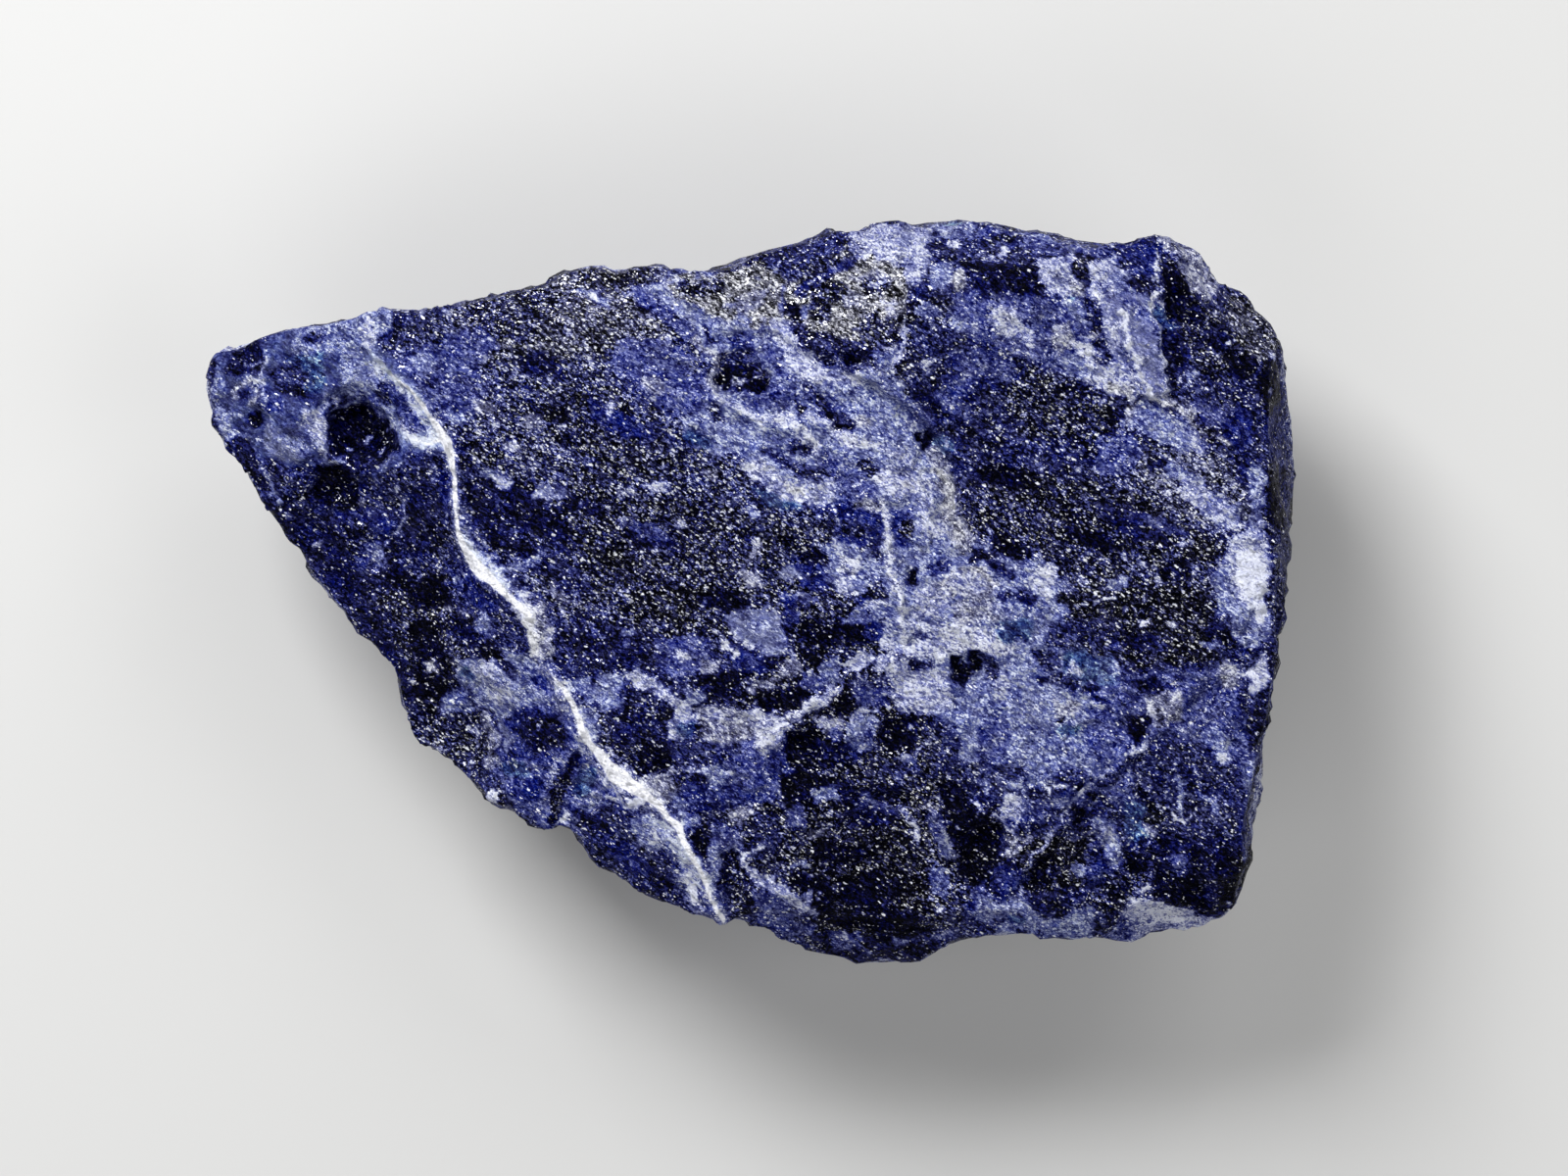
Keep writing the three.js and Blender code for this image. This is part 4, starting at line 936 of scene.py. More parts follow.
LOWER_RIGHT_MARKS = [
    # the cloudy ground round the black hole
    patch("haze", (16.8, 5.8), (20.4, 6), (20.8, 4.2), (17.4, 4), soft=0.5),
    spot("navy", 18.6, 2.9, 1, 0.5, 10),
    patch("ink", (21.8, 4.4), (24.2, 4.2), (26.4, 2), (25, 1.8), (23.4, 3.1), (21.8, 3.3), soft=0.3),
    patch("ash", (18.2, 1), (21, 2.4), (22.6, 2.6), (24.6, 0.8), (24.4, -0.6), (18.8, -0.4), soft=0.5),
    band("beige", 0.2, (19.4, 1.4), (21, 2.4), (22.5, 2.6), (23.6, 1.8), (24.6, 0.9)),
    patch("pale", (16.4, 0.4), (19.8, 0.6), (20, -1.4), (16.8, -1.6), soft=0.5),
    patch("ash", (20.2, -1), (24.6, -0.8), (24.8, -2.6), (20.4, -3.2)),
    spot("pale", 21.8, 1.2, 1.8, 1, -10),
    patch("frost", (19.6, -2.9), (21.4, -3), (22.8, -3.8), (22.2, -4.4), (19.8, -4.2), soft=0.5),
    patch("pale", (27.6, 1), (29, 3.2), (31, 2.6), (31, 0.4), (29.4, -0.8), soft=0.5),
    spot("frost", 29.8, 2.2, 1, 0.6, 20),
    band("pale", 0.1, (27.4, 2.8), (28.4, 1.6), (28.8, 0.4)),
    band("pale", 0.08, (24.8, 0.6), (24.6, -1.2), (26.6, -1.6)),
    spot("ink", 27.4, -0.7, 1, 0.45, -25),
    spot("navy", 25.6, -0.4, 0.6, 0.5),
    patch("teal", (24.8, -2.8), (28.6, -2.6), (28.2, -4.8), (25.2, -4.6), soft=0.6),
    patch("black", (20.4, -6.3), (21.3, -6.1), (21.6, -7.6), (22.4, -8.6), (21.6, -9.5), (20.4, -8.9),
        soft=0.25),
    patch("black", (21.8, -6), (23, -5.9), (22.9, -7.9), (21.8, -7.9), soft=0.25),
    patch("navy", (22.9, -6.3), (24.4, -6.6), (24.4, -8.9), (23.2, -8.8), soft=0.3),
    spot("frost", 18.8, -6.4, 0.9, 0.6, 20),
    patch("pale", (16, -9), (20.2, -9.2), (20, -12.2), (16.2, -12), soft=0.6),
    spot("ink", 25.3, -11.2, 0.6, 0.35, -30),
    patch("haze", (25.4, -8.8), (28.6, -9.4), (29.6, -12.4), (27.8, -14), (25.8, -13), soft=0.8),
    band("ink", 0.35, (29.2, -8.8), (31, -8.6), (32.6, -9.6), soft=0.4),
    patch("navy", (28.6, -5.9), (31.6, -5.8), (31, -7.8), (29, -7.6), soft=0.5),
    patch("navy", (29.8, -3.6), (37, -2.4), (37.4, -5.6), (33.4, -6), (30, -5.2), soft=0.7),
    patch("teal", (31.2, -6.2), (36.6, -6), (36.8, -9.4), (31.6, -8.8), soft=0.6),
    spot("pale", 32.8, -7.6, 0.9, 0.6, -20),
    spot("haze", 36.7, -7.3, 0.6, 0.7),
    band("pale", 0.08, (31.4, -5.6), (31.2, -7.4)),
    *spots("ink", (34.3, -9.4, 0.9, 0.35), (35.1, -10.5, 0.4, 0.3)),
    patch("ash", (31, -10.8), (33, -11.2), (32.8, -12.4), (31.2, -12.2)),
    spot("pale", 34.9, -11.4, 0.9, 0.5, -25),
    spot("black", 31.4, -12.6, 0.6, 0.25),
    spot("teal", 32.2, -13.8, 1.2, 0.6),
    patch("black", (38, -12.6), (39.8, -12.4), (40, -14.4), (39, -15.4), (38.2, -14.4), soft=0.35),
    patch("ash", (40, -9.8), (43.4, -9.8), (43.2, -13.2), (40.2, -13.4), soft=0.5),
    *spots("frost", (42.9, -9.9, 0.25, 0.2), (40, -3, 1.1, 0.25, 5)),
    spot("ash", 42.8, -3, 0.6, 0.5),
    spot("haze", 46.5, -5.2, 1.2, 0.4, -10),
    # the lower corner
    patch("navy", (38.4, -15.8), (46.8, -15), (50, -18.6), (49.6, -24), (42, -25.4), (38.6, -20), soft=1.2),
    patch("haze", (26, -14.8), (29.8, -15.4), (29.4, -17.8), (26.4, -18), soft=0.6),
    spot("frost", 24, -5.2, 2.6, 1, -10),
    spot("haze", 26.2, -8.6, 1.2, 2.4),
    spot("pale", 16.6, -8.4, 2.4, 0.5, -5),
    spot("haze", 20.4, -12.6, 2.4, 0.9, -10),
    spot("blue", 24.4, -14.6, 1.8, 2),
    patch("haze", (32.8, -15.6), (35.2, -16), (34.8, -18.2), (33, -18), soft=0.5),
    patch("navy", (30.8, -17.6), (34.2, -18.2), (34, -19.4), (31, -19)),
    band("frost", 0.15, (28.4, -19.9), (29.6, -20.2), (30.5, -19.4), (31.4, -19.6), (33, -20.2), (34.4, -20),
        soft=0.4),
    patch("pale", (25.3, -20), (27.4, -20.4), (27.6, -22.2), (26.2, -24.4), (25.3, -24.4), soft=0.3),
    spot("royal", 26, -23.2, 0.5, 0.6),
    patch("ash", (25.6, -24.9), (28.6, -24.7), (28, -26.9), (25.8, -26.9), soft=0.35),
    patch("blue", (27.2, -20.8), (29.8, -20.8), (29.6, -23.2), (27, -23.4), soft=0.5),
    spot("black", 32.8, -19.7, 0.8, 0.3),
    *spots("ink", (35.2, -20.2, 1, 0.35), (30.6, -21.5, 1.1, 0.8, 20)),
    patch("black", (31.9, -21.6), (33.6, -21.6), (34, -22.8), (32.6, -23.2), soft=0.35),
    spot("beige", 31.7, -21.2, 0.4, 0.8, 10),
    patch("haze", (34.6, -22.6), (36.6, -22.8), (37.4, -25), (37.2, -27.8), (35.4, -26), (34.4, -24),
        soft=0.5),
    spot("pale", 36.2, -24.2, 0.6),
    band("frost", 0.07, (37.6, -24.4), (38.3, -25.5), soft=0.2),
    patch("teal", (37.4, -20.8), (40, -21), (40, -25), (38.2, -25.4), soft=0.5),
    spot("ash", 40.4, -24.2, 0.5, 0.9),
    spot("peppered", 41, -22.4, 0.9, 1.6, 20),
    patch("coal", (26.8, -25.4), (34, -24.6), (33.6, -29.6), (28, -30.4), soft=0.7),
    patch("black", (28.2, -27.2), (30.6, -26.9), (30.8, -29.6), (28.6, -30.4), soft=0.5),
    patch("ink", (28.2, -30.4), (32.2, -30.2), (32.4, -33.4), (29.8, -33.6)),
    band("pale", 0.12, (27, -29.6), (27.8, -31.6), (29.8, -33.8)),
    patch("haze", (29.6, -33.4), (34.4, -32.2), (35, -35.2), (29.4, -35.2), soft=0.3),
    spot("haze", 33.4, -28.4, 0.8, 0.5, 30),
    spot("royal", 35.4, -28.4, 1.2, 1.5),
    patch("black", (38, -26.4), (40, -26.8), (39.8, -28.4), (37.8, -28.6), soft=0.5),
    patch("peppered", (36, -28.6), (40.4, -28.4), (38.6, -31.4), (34.4, -32.6), (34.2, -31.4), soft=0.5),
    patch("black", (36.2, -29.4), (38.4, -29.4), (38, -31.4), (36, -31.2)),
    *spots("frost", (39.5, -30, 0.8, 0.5, 30), (38.7, -31.6, 1.2, 0.3, 5)),
    patch("ink", (40.6, -25), (50, -24.4), (50, -31.8), (46.6, -32.8), (40.8, -31), soft=0.6),
    patch("black", (41.2, -28.4), (46, -28.8), (46.4, -31.6), (43, -31.8), (40.8, -30.8)),
    patch("black", (47.2, -27), (50, -26.8), (49.8, -31), (47.4, -31.4), soft=0.5),
    spot("black", 44.6, -26.6, 0.8, 0.6),
    patch("blue", (42.8, -26.4), (44.2, -26.8), (44.2, -28.9), (42.8, -28.6), soft=0.3),
    band("ash", 0.08, (45.4, -29.4), (46.6, -31.2), soft=0.25),
    patch("pale", (38.6, -31.8), (42, -31.6), (44.4, -32.2), (47.4, -33), (46, -36), (38, -37.4), (36, -35.8),
        (37.4, -32.8)),
    spot("frost", 41.4, -31.9, 0.6, 0.2, -20),
    band("frost", 0.12, (42.6, -22.6), (43.6, -23.2), (44.8, -22.5)),
    band("haze", 0.25, (43.2, -19.2), (43.6, -20.8), (43.6, -22.2)),
    band("haze", 0.25, (45.2, -20.6), (46.8, -22.4)),
    band("pale", 0.07, (47.4, -22.9), (50, -22.2), soft=0.25),
    patch("haze", (47, -14.4), (48.6, -14.4), (48.4, -17.2), (47, -17)),
    spot("frost", 47.6, -16.6, 0.4, 0.7, 10),
    band("ink", 0.6, (51.4, -11.4), (51.3, -14), (51.2, -16), soft=0.35),
    band("blue", 0.5, (51.2, -17), (50.8, -19.6), (50.2, -22), soft=0.4),
    band("royal", 0.6, (50, -22.8), (50.2, -25.6), soft=0.35),
    *spots("haze", (50.3, -27.4, 0.35, 1.7), (50.6, -18.6, 0.8, 1.6)),
    spot("frost", 41.8, -32.6, 1.8, 0.8, -10),
    spot("blue", 37.6, -34.2, 1.6, 1, 20),
    spot("ink", 44.2, -18.4, 0.6, 0.9, 10),
]

# Single dark and pale pieces, over the larger ones.
PIECE_MARKS = [
    # dark pieces, from left to right
    spot("ink", -51.6, 13.6, 1, 2, 35),
    spot("navy", -47.2, 22.2, 1.8, 1.4),
    spot("black", -42.8, 10.6, 2.2, 1.8),
    *spots("ink", (-40.2, 12.8, 1.8, 0.8), (-42.4, 6.4, 2.4, 1.2, -30)),
    spot("ink", -33.6, 7.6, 1.8, 3.6, soft=0.5),
    spot("peppered", -24.6, 29.2, 4.6, 2.2, 15, soft=0.6),
    spot("coal", -14, 32.4, 3.4, 0.9, soft=0.6),
    spot("ink", -15.4, -6.4, 3.2, 0.9, -20),
    *spots("coal", (-13.6, 3.4, 3, 1.3, -25), (-8.4, -2, 2.2, 1, -10), soft=0.5),
    spot("ink", 1.8, -6.6, 1, 0.5),
    *spots("black", (3.8, 29, 0.9, 0.6, -20), (4, -29.4, 0.8)),
    spot("peppered", 8, 30.6, 1.6, 0.9),
    *spots("black", (8.6, -26.4, 2.6, 1.1), (14.6, -33.6, 3, 1.3, -5), soft=0.5),
    spot("navy", 15, -17.8, 2.4, 0.8, -10, soft=0.5),
    spot("ink", 25.4, 36.2, 1.8, 0.5, -10),
    spot("navy", 25, -18, 3, 0.8, -8, soft=0.5),
    spot("black", 26.2, 4.4, 2.2, 0.8, -20),
    spot("black", 26.4, 11.8, 3.4, 1.1, -12, soft=0.5),
    spot("navy", 31.6, -8.6, 1.6, 0.6, -20, soft=0.5),
    spot("black", 34.6, 5.4, 3, 0.9, -20, soft=0.5),
    spot("navy", 36.6, -18.4, 1.6, 0.8, 30),
    *spots("ink", (40.2, -5.2, 2.6, 0.9, -5), (40.4, -9.4, 1.4, 0.9), (41, 13.2, 1.2, 0.8)),
    spot("black", 43, 2.4, 1.6, 1.2),
    *spots("ink", (47.2, 26.2, 1.2, 1.6), (47.6, -4, 1.6, 0.8, -20)),
    # pale pieces, from left to right
    *spots("haze", (-53.9, 17.4, 1, 1.6, 30), (-46.4, 15.4, 1.6, 0.6, -40)),
    spot("pale", -39.4, 26.4, 0.9, 1.6, 10),
    *spots("haze", (-37.4, 18.4, 0.6, 1.4, 30), (-27.6, -2.8, 1)),
    spot("pale", -27.4, -7.8, 1.8, 0.9, -10),
    spot("haze", -16.2, -10.2, 3, 0.9, -25),
    spot("ash", -10.4, 21.4, 1.6, 0.8, -20),
    *spots("haze", (-6, -10.4, 1.6, 0.6, -20), (-4.3, -27.2, 0.7, 2.4, 10)),
    *spots("ash", (-0.6, 1.4, 1.2, 0.7, -30), (0.2, 4.6, 1.5, 0.5, 60), soft=0.6),
    spot("slate", 3.8, 1.8, 1.5, 0.7, -10),
    *spots("haze", (11.2, -2.2, 2.2, 0.7, 20), (13, 21.4, 2.2, 0.9, -25)),
    spot("pale", 14, -7.3, 1.8, 0.8),
    spot("blue", 17.2, 18.2, 1.6, 0.8, -45),
    spot("pale", 18.8, -5.2, 1.8, 0.6, -10),
    spot("haze", 23.4, -32.2, 0.9, 1.4),
    *spots("blue", (23.8, 23.4, 3.6, 1.2, -15), (20.4, 19.2, 2.4, 0.8, -35), soft=0.6),
    spot("pale", 25.2, -9.6, 1, 1.5),
    spot("blue", 31.8, -21, 2.2, 0.8, 10),
    spot("pale", 36.6, 26.4, 0.8, 1.8, 10),
    spot("blue", 41.8, 7, 2.6, 0.8, -30),
    spot("pale", 46.6, 9.2, 3.6, 1.1, -35, soft=0.5),
    spot("haze", 46.6, -14.6, 1.3, 0.9),
    spot("white", 51.5, -0.8, 0.8, 2),
    spot("pale", 51.7, -7.6, 0.7, 1.8),
]

# Pale lines and crests, drawn over the rest.
LINE_MARKS = [
    # the vein's soft sides
    band("royal", 0.7, (-37, 20.6), (-35.4, 18.8), (-34.4, 17.4), soft=0.8),
    band("haze", 0.25, (-36.6, 21.4), (-35, 19.6), (-33.4, 17.2), (-32.4, 15.8), soft=0.5),
    band("haze", 0.4, (-29.5, 6), (-28.2, 4.2), (-26.4, 2.2), (-25, 0.8), soft=0.7),
    # the crests of the rib
    band("pale", 0.35, (-4.2, 20.4), (-2, 19.2), (-0.6, 18.5), (0.4, 17.6), (1.8, 17.8), (3.4, 17.7),
        (4.8, 17), (5.6, 15.9), (6.6, 14.4), soft=0.4),
    band("frost", 0.22, (-1.4, 18.9), (-0.4, 18.2), (0.3, 17.3), (0.9, 16.7)),
    band("frost", 0.2, (3, 17.7), (4.6, 17.1), (5.5, 15.9), (6.2, 14.8)),
    band("pale", 0.35, (5.2, 18.2), (7.6, 17.2), (9, 16), (10.6, 15.3), (12.4, 14.9), (14.6, 14.1),
        (16.8, 12.8), (18.4, 10.6), soft=0.4),
    band("frost", 0.2, (9.8, 15.4), (11.4, 14.8), (12.8, 14.6)),
    band("pale", 0.25, (13, 12.4), (15, 11.6), (17.4, 10.4), (19, 7.6), (20, 5.4), soft=0.4),
    # the upright line
    band("haze", 0.8, (13.6, 4.6), (13.9, 2), (14.5, -1), (14.8, -3.2), (15.2, -5), soft=0.6),
    band("pale", 0.4, (13.3, 8.6), (13.5, 5), (14, 2), (14.7, -1), (15, -3.4), (15.3, -5.8)),
    band("frost", 0.22, (12.9, 9.8), (13.2, 7.4), (13.5, 4.6), (13.9, 2), (14.7, -0.6), (15, -3),
        (15.4, -5.8), soft=0.25),
    # the grey band along the step, and a painted highlight along the lit edge of the upper step
    band("ash", 0.8, (18.5, 14.2), (19.4, 12), (20, 9.6), (20.6, 7.2), (21.2, 5), soft=0.4),
    band("beige", 0.4, (19.2, 12.6), (19.9, 10), (20.4, 8), (21, 5.6)),
    # painted highlight on the lit edge of the step
    band("pale", 0.22, (15.1, 28), (15, 25.6), (14.6, 23.4), soft=0.2),
    # the slab's crest and the beige line that goes on from it
    band("white", 0.28, (37.3, 28.4), (38, 26.4), (38.6, 24.9), (39.4, 22.7), (40.3, 20.6), (41.6, 19.3),
        soft=0.2),
    band("pale", 0.3, (41, 27.6), (41.6, 25.2), (41.9, 22.2), (42, 20.4), soft=0.25),
    band("beige", 0.22, (40.4, 19.9), (42.6, 19.3), (44, 18), (45.4, 17), (47, 16.5), (48.4, 15.2),
        soft=0.25),
    band("frost", 0.18, (40.8, 34.4), (40.7, 32.2), (41.1, 30.6), (40.3, 28.8), soft=0.2),
    # the streak across the middle
    band("frost", 0.22, (1.4, -13.5), (4.4, -11.9), (6.6, -10.8), soft=0.2),
    band("pale", 0.22, (7.4, -10.3), (8.6, -8.9), (10, -7.7), (11.6, -6.9), (13.8, -6.2), soft=0.2),
    # the long fine line at the lower right
    band("pale", 0.16, (27.2, -28.3), (30, -25), (31.4, -22.6), (32.8, -20.8), (34, -19.6), (36, -18),
        (38, -16.6), (40, -15.3), soft=0.2),
    band("pale", 0.2, (17.9, -22), (19.2, -23.4), (20.2, -25.4), (20.3, -27.2), soft=0.2),
    band("pale", 0.2, (15.2, -22), (16.2, -23.4), (17, -25.6), soft=0.2),
]

MARKS = (
    BROAD_MARKS + TIP_MARKS + LEFT_MARKS + GREY_MARKS + RIB_MARKS + RIGHT_MARKS + LOWER_LEFT_MARKS
    + MIDDLE_MARKS + LOWER_RIGHT_MARKS + PIECE_MARKS + LINE_MARKS
)

# White veins: lines of x, y and half width.
VEINS = (
    ((-38.8, 24.6, -0.2), (-37.5, 22.9, 0), (-36.5, 22, 0.1), (-35, 20.8, 0.2), (-34, 19.6, 0.2),
     (-33, 18, 0.25), (-32.2, 16.8, 0.35), (-31.5, 15.5, 0.5), (-30.9, 14, 0.35), (-30.6, 12, 0.2),
     (-30.5, 10, 0.2), (-30.3, 8, 0.15), (-30, 6, 0.25), (-29.3, 4.2, 0.4), (-28, 2.5, 0.7),
     (-26.5, 1.2, 0.45), (-25.2, 0.2, 0.3), (-24, -0.8, 0.3), (-23, -1.7, 0.25), (-22.4, -3, 0),
     (-22.2, -4.5, -0.2), (-21.8, -6.2, -0.15), (-21.3, -7.3, -0.1), (-20.3, -8.5, 0.05),
     (-19.2, -9.8, 0.2), (-18.5, -11, 0.25), (-17.8, -12.5, 0.3), (-17.3, -14, 0.35), (-16.5, -15.8, 0.4),
     (-15.5, -17, 0.55), (-14, -18.5, 0.9), (-12.5, -19.7, 0.7), (-11, -20.5, 0.45), (-9.8, -21.5, 0.35),
     (-8.8, -22.7, 0.3), (-7.8, -23.6, 0.3), (-7.2, -25, 0.25), (-6.3, -26.5, 0.25), (-5.5, -28, 0.2),
     (-4.8, -29.5, 0.2), (-4.2, -31, 0.2), (-3.2, -32.8, 0.15)),
    ((-36.2, 17.2, -0.1), (-34.6, 15.6, 0.05), (-33, 15.3, 0.15), (-31.8, 15.8, 0.25)),
    ((-7.2, -28.8, 0), (-6, -30.8, 0.05), (-5.4, -31.8, 0)),
)


# ---------------- relief drawn on the stone, in millimetres


def rise(height, mark):
    """A height in millimetres, up where it is positive, with the cover of a mark that needs no finish."""
    return height, mark.cover


RELIEF = [
    rise(-1.2, spot("", -40.3, 16.7, 3, 2.6, -20, soft=0.25)),
    rise(-0.8, spot("", -43.1, 11.1, 2.2, 2, soft=0.3)),
    rise(-0.45, spot("", -52, 24, 1.8, 1.5, soft=0.25)),
    rise(-0.5, spot("", -51.5, 18.2, 1.2, 0.8, 25)),
    rise(0.5, patch("", (-49.6, 18.2), (-47, 17.4), (-44.6, 14.2), (-46.4, 13.4), (-49.4, 15.8))),
    rise(-1, patch("", (-4, 24), (-2.4, 25.2), (0.4, 24.6), (1.6, 22), (0.8, 20.6), (-3.8, 20.6))),
    rise(-0.6, spot("", 10.2, 24.2, 1.2, 1)),
    rise(-0.9, patch("", (20.4, -6.3), (23.2, -6.4), (24.4, -7.8), (22.6, -9.4), (20.6, -9), soft=0.6)),
    rise(-0.4, spot("", 15.9, 1.8, 0.7)),
    rise(-1.1, patch("", (21.2, -24.4), (25.2, -23.4), (25.8, -27), (24, -29.8), (21.4, -29.6), soft=0.5)),
    rise(-0.6, patch("", (-3.7, -26.2), (-1.6, -26.4), (-1, -29.4), (-1.8, -31.4), (-3.2, -30.8))),
    rise(-0.6, spot("", 29, -28.6, 1.7, 1.5)),
    rise(-0.6, patch("", (40.6, -28), (46, -28.2), (46.6, -31.6), (41.6, -31), soft=0.5)),
    rise(0.5, patch("", (17.6, -21.8), (19.4, -23), (20.4, -26.4), (19.4, -27.8), (18.2, -26.4), soft=0.35)),
    rise(0.4, band("", 0.5, (15.4, -22.4), (16.4, -24), (17.1, -25.6), soft=0.35)),
    rise(0.6, band("", 0.6, (-4.2, 20.2), (-1.2, 18.5), (0.4, 17.2), (2.6, 17), (5, 17.4), (7, 14.2),
        soft=0.7)),
    rise(0.5, band("", 0.4, (13.1, 9.8), (13.5, 5), (14.4, 0), (15.3, -4.2), soft=0.7)),
    rise(0.5, patch("", (0.2, -15.2), (1.6, -15.8), (7.6, -11.2), (7.8, -9.8), (4.4, -11.2), (0.4, -13))),
    rise(-0.6, patch("", (3.6, -13.8), (7, -14.4), (6.4, -17.8), (3.8, -18.2))),
    rise(-0.5, patch("", (13.2, -12.8), (16.4, -13), (16, -15.8), (13.4, -15.8))),
    rise(-0.5, patch("", (5.6, 20.8), (7.2, 20.4), (10, 16.8), (8.4, 16.8))),
    rise(-0.5, patch("", (16.8, 15.6), (17.8, 16.6), (19.4, 16.4), (17.8, 14.4), soft=0.3)),
    rise(0.7, band("", 0.5, (37.3, 28.6), (38.6, 25), (40.2, 20.8), (41.6, 19.4), soft=0.8)),
    rise(-0.5, patch("", (41.6, 34.2), (43.6, 31.4), (45.8, 29.2), (44.6, 27), (42.2, 28.4), soft=0.5)),
]

# Steps: how far the right-hand side of each line lies below its left-hand side, in millimetres, and how
# many millimetres away from the line the drop has faded to a third.
STEPS = (
    (1.3, 3.5, ((7, 24), (12, 21.5), (17.4, 17.6), (20.2, 13.4), (21.3, 8.4), (21.8, 4.4))),
    (1, 2, ((15.2, 29), (15, 25), (14.6, 22.4), (16, 20.2))),
    (0.8, 2.5, ((-49.4, 18.6), (-46.5, 16.3), (-44.8, 14.6), (-43.5, 13.9), (-41.8, 12.8))),
    (1, 2.5, ((-38, 23.6), (-35, 20.8), (-33, 18), (-31.5, 15.5), (-30.6, 12))),
    (0.6, 2.5, ((-13, 32.6), (-8.5, 30.2), (-5, 28.2), (-3.4, 26.6), (1.6, 26.6), (3.4, 25.8))),
    (0.5, 2, ((-20.6, -22.8), (-20.4, -20.8), (-19.2, -18.4), (-18, -15.8))),
    (1.2, 2, ((40.4, 20), (42.4, 20.8), (41.8, 25), (40.8, 28.2))),
    (-0.5, 2, ((0.2, -15), (5.5, -11), (9.3, -8), (13.5, -6.4))),
    (0.5, 2.5, ((27, -29), (33.5, -21.5), (38.5, -17), (44.5, -11))),
)


# ---------------- the stone's mesh


# How far below the stone's top its steep sides start, in millimetres, and how far the marks lean on them
# along X and against Y with each millimetre of depth.
SIDE_BELOW_TOP, LEAN_X, LEAN_Y = 4, 0.35, 0.25

# How far the marks' edges wander, in millimetres: in long waves, in how much these grow with each millimetre
# of depth on a steep side, and in short ones.
WAVE, DEEPER_WAVE, FRAY = 0.5, 0.35, 0.45

# A mark's cover is roughened by this much of fine shreds and crumbs. It then starts at MARK_FROM and is
# whole at MARK_TO. A veil thins the marks in places, to no less than THINNEST.
RAGGED, SHRED_SHARE, CRUMB_SHARE = 0.52, 0.30, 0.9
MARK_FROM, MARK_TO = 0.28, 0.72
VEIL_CHANGE, THINNEST = 0.45, 0.55

# The veins, in millimetres: how far they wander, how far their edges do, how far away they count, and the
# height and the half width of the main vein's ridge.
VEIN_WANDER, VEIN_FRAY, VEIN_REACH = 0.16, 0.12, 3
RIDGE_HEIGHT, RIDGE_WIDTH = 0.45, 1.1

# The share of the broken ground's relief that the plates lose.
PLATE_CALM = 0.72

# How many times the normals are averaged: to raise the relief along them, and to tell top from sides.
RELIEF_ROUNDS, SIDE_ROUNDS = 8, 24

# A normal's upward share: where a side turns into the top, where steep ground turns into level ground, and
# below which points may be merged away.
TOP_FROM, TOP_TO = 0.05, 0.35
STEEP_FROM, STEEP_TO = 0.4, 0.8
LOOSE_BELOW = 0.35

# Heights over the floor, in millimetres: the flat spot's points are below the first, and the relief grows
# from nothing to its full height between the others.
FLAT_SPOT_UP_TO = 0.12
RELIEF_FROM, RELIEF_TO = 0.1, 1.6


def fine_mesh(node, grid):
    """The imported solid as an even, fine mesh of its own."""
    source = frame["nodes"][node]
    rough = source.copy()
    rough.data = source.data.copy()
    bpy.context.collection.objects.link(rough)
    rough.matrix_world = source.matrix_world
    for kind, settings in (
        ("WELD", {"merge_threshold": 1e-6}),
        ("REMESH", {"mode": "VOXEL", "voxel_size": grid}),
    ):
        modifier = rough.modifiers.new(kind.title(), kind)
        for key, value in settings.items():
            setattr(modifier, key, value)
    depsgraph = bpy.context.evaluated_depsgraph_get()
    mesh = bpy.data.meshes.new_from_object(rough.evaluated_get(depsgraph))
    bpy.data.objects.remove(rough)
    return mesh


def thinned(mesh, loose, most):
    """The mesh with no more than most triangles: only points that are loose are merged away."""
    mesh.calc_loop_triangles()
    ratio = most / len(mesh.loop_triangles)
    rough = bpy.data.objects.new("rough", mesh)
    bpy.context.collection.objects.link(rough)
    group = rough.vertex_groups.new(name="loose")
    group.add(np.flatnonzero(loose).tolist(), 1.0, "REPLACE")
    modifier = rough.modifiers.new("Decimate", "DECIMATE")
    modifier.ratio = ratio
    modifier.vertex_group = group.name
    depsgraph = bpy.context.evaluated_depsgraph_get()
    made = bpy.data.meshes.new_from_object(rough.evaluated_get(depsgraph))
    bpy.data.objects.remove(rough)
    bpy.data.meshes.remove(mesh)
    return made


def points_of(mesh):
    """The mesh's points, in millimetres."""
    points = np.empty(len(mesh.vertices) * 3)
    mesh.vertices.foreach_get("co", points)
    return points.reshape(-1, 3) / MM


def normals_of(mesh):
    """The mesh's point normals."""
    normals = np.empty(len(mesh.vertices) * 3, np.float32)
    mesh.vertex_normals.foreach_get("vector", normals)
    return normals.reshape(-1, 3).astype(float)


def averaged(mesh, values, rounds):
    """Values at the mesh's points, averaged with their neighbours a number of times."""
    edges = np.empty(len(mesh.edges) * 2, np.int32)
    mesh.edges.foreach_get("vertices", edges)
    first, second = edges.reshape(-1, 2).T
    count = np.bincount(first, minlength=len(values)) + np.bincount(second, minlength=len(values)) + 1.0
    for _ in range(rounds):
        total = values.copy()
        for column in range(values.shape[1]):
            total[:, column] += np.bincount(first, values[second, column], len(values))
            total[:, column] += np.bincount(second, values[first, column], len(values))
        values = total / count[:, None]
    return values


def as_seen(points, up):
    """Where each point is seen on the sheet that the marks are drawn on, and its depth on a steep side."""
    depth = (1 - up) * np.clip(TALL - SIDE_BELOW_TOP - points[:, 2], 0, None)
    nearer = EYE_UP / (EYE_UP + LEVEL - points[:, 2])
    x = EYE_X + (points[:, 0] - EYE_X) * nearer + LEAN_X * depth
    y = EYE_Y + (points[:, 1] - EYE_Y) * nearer - LEAN_Y * depth
    return x, y, depth


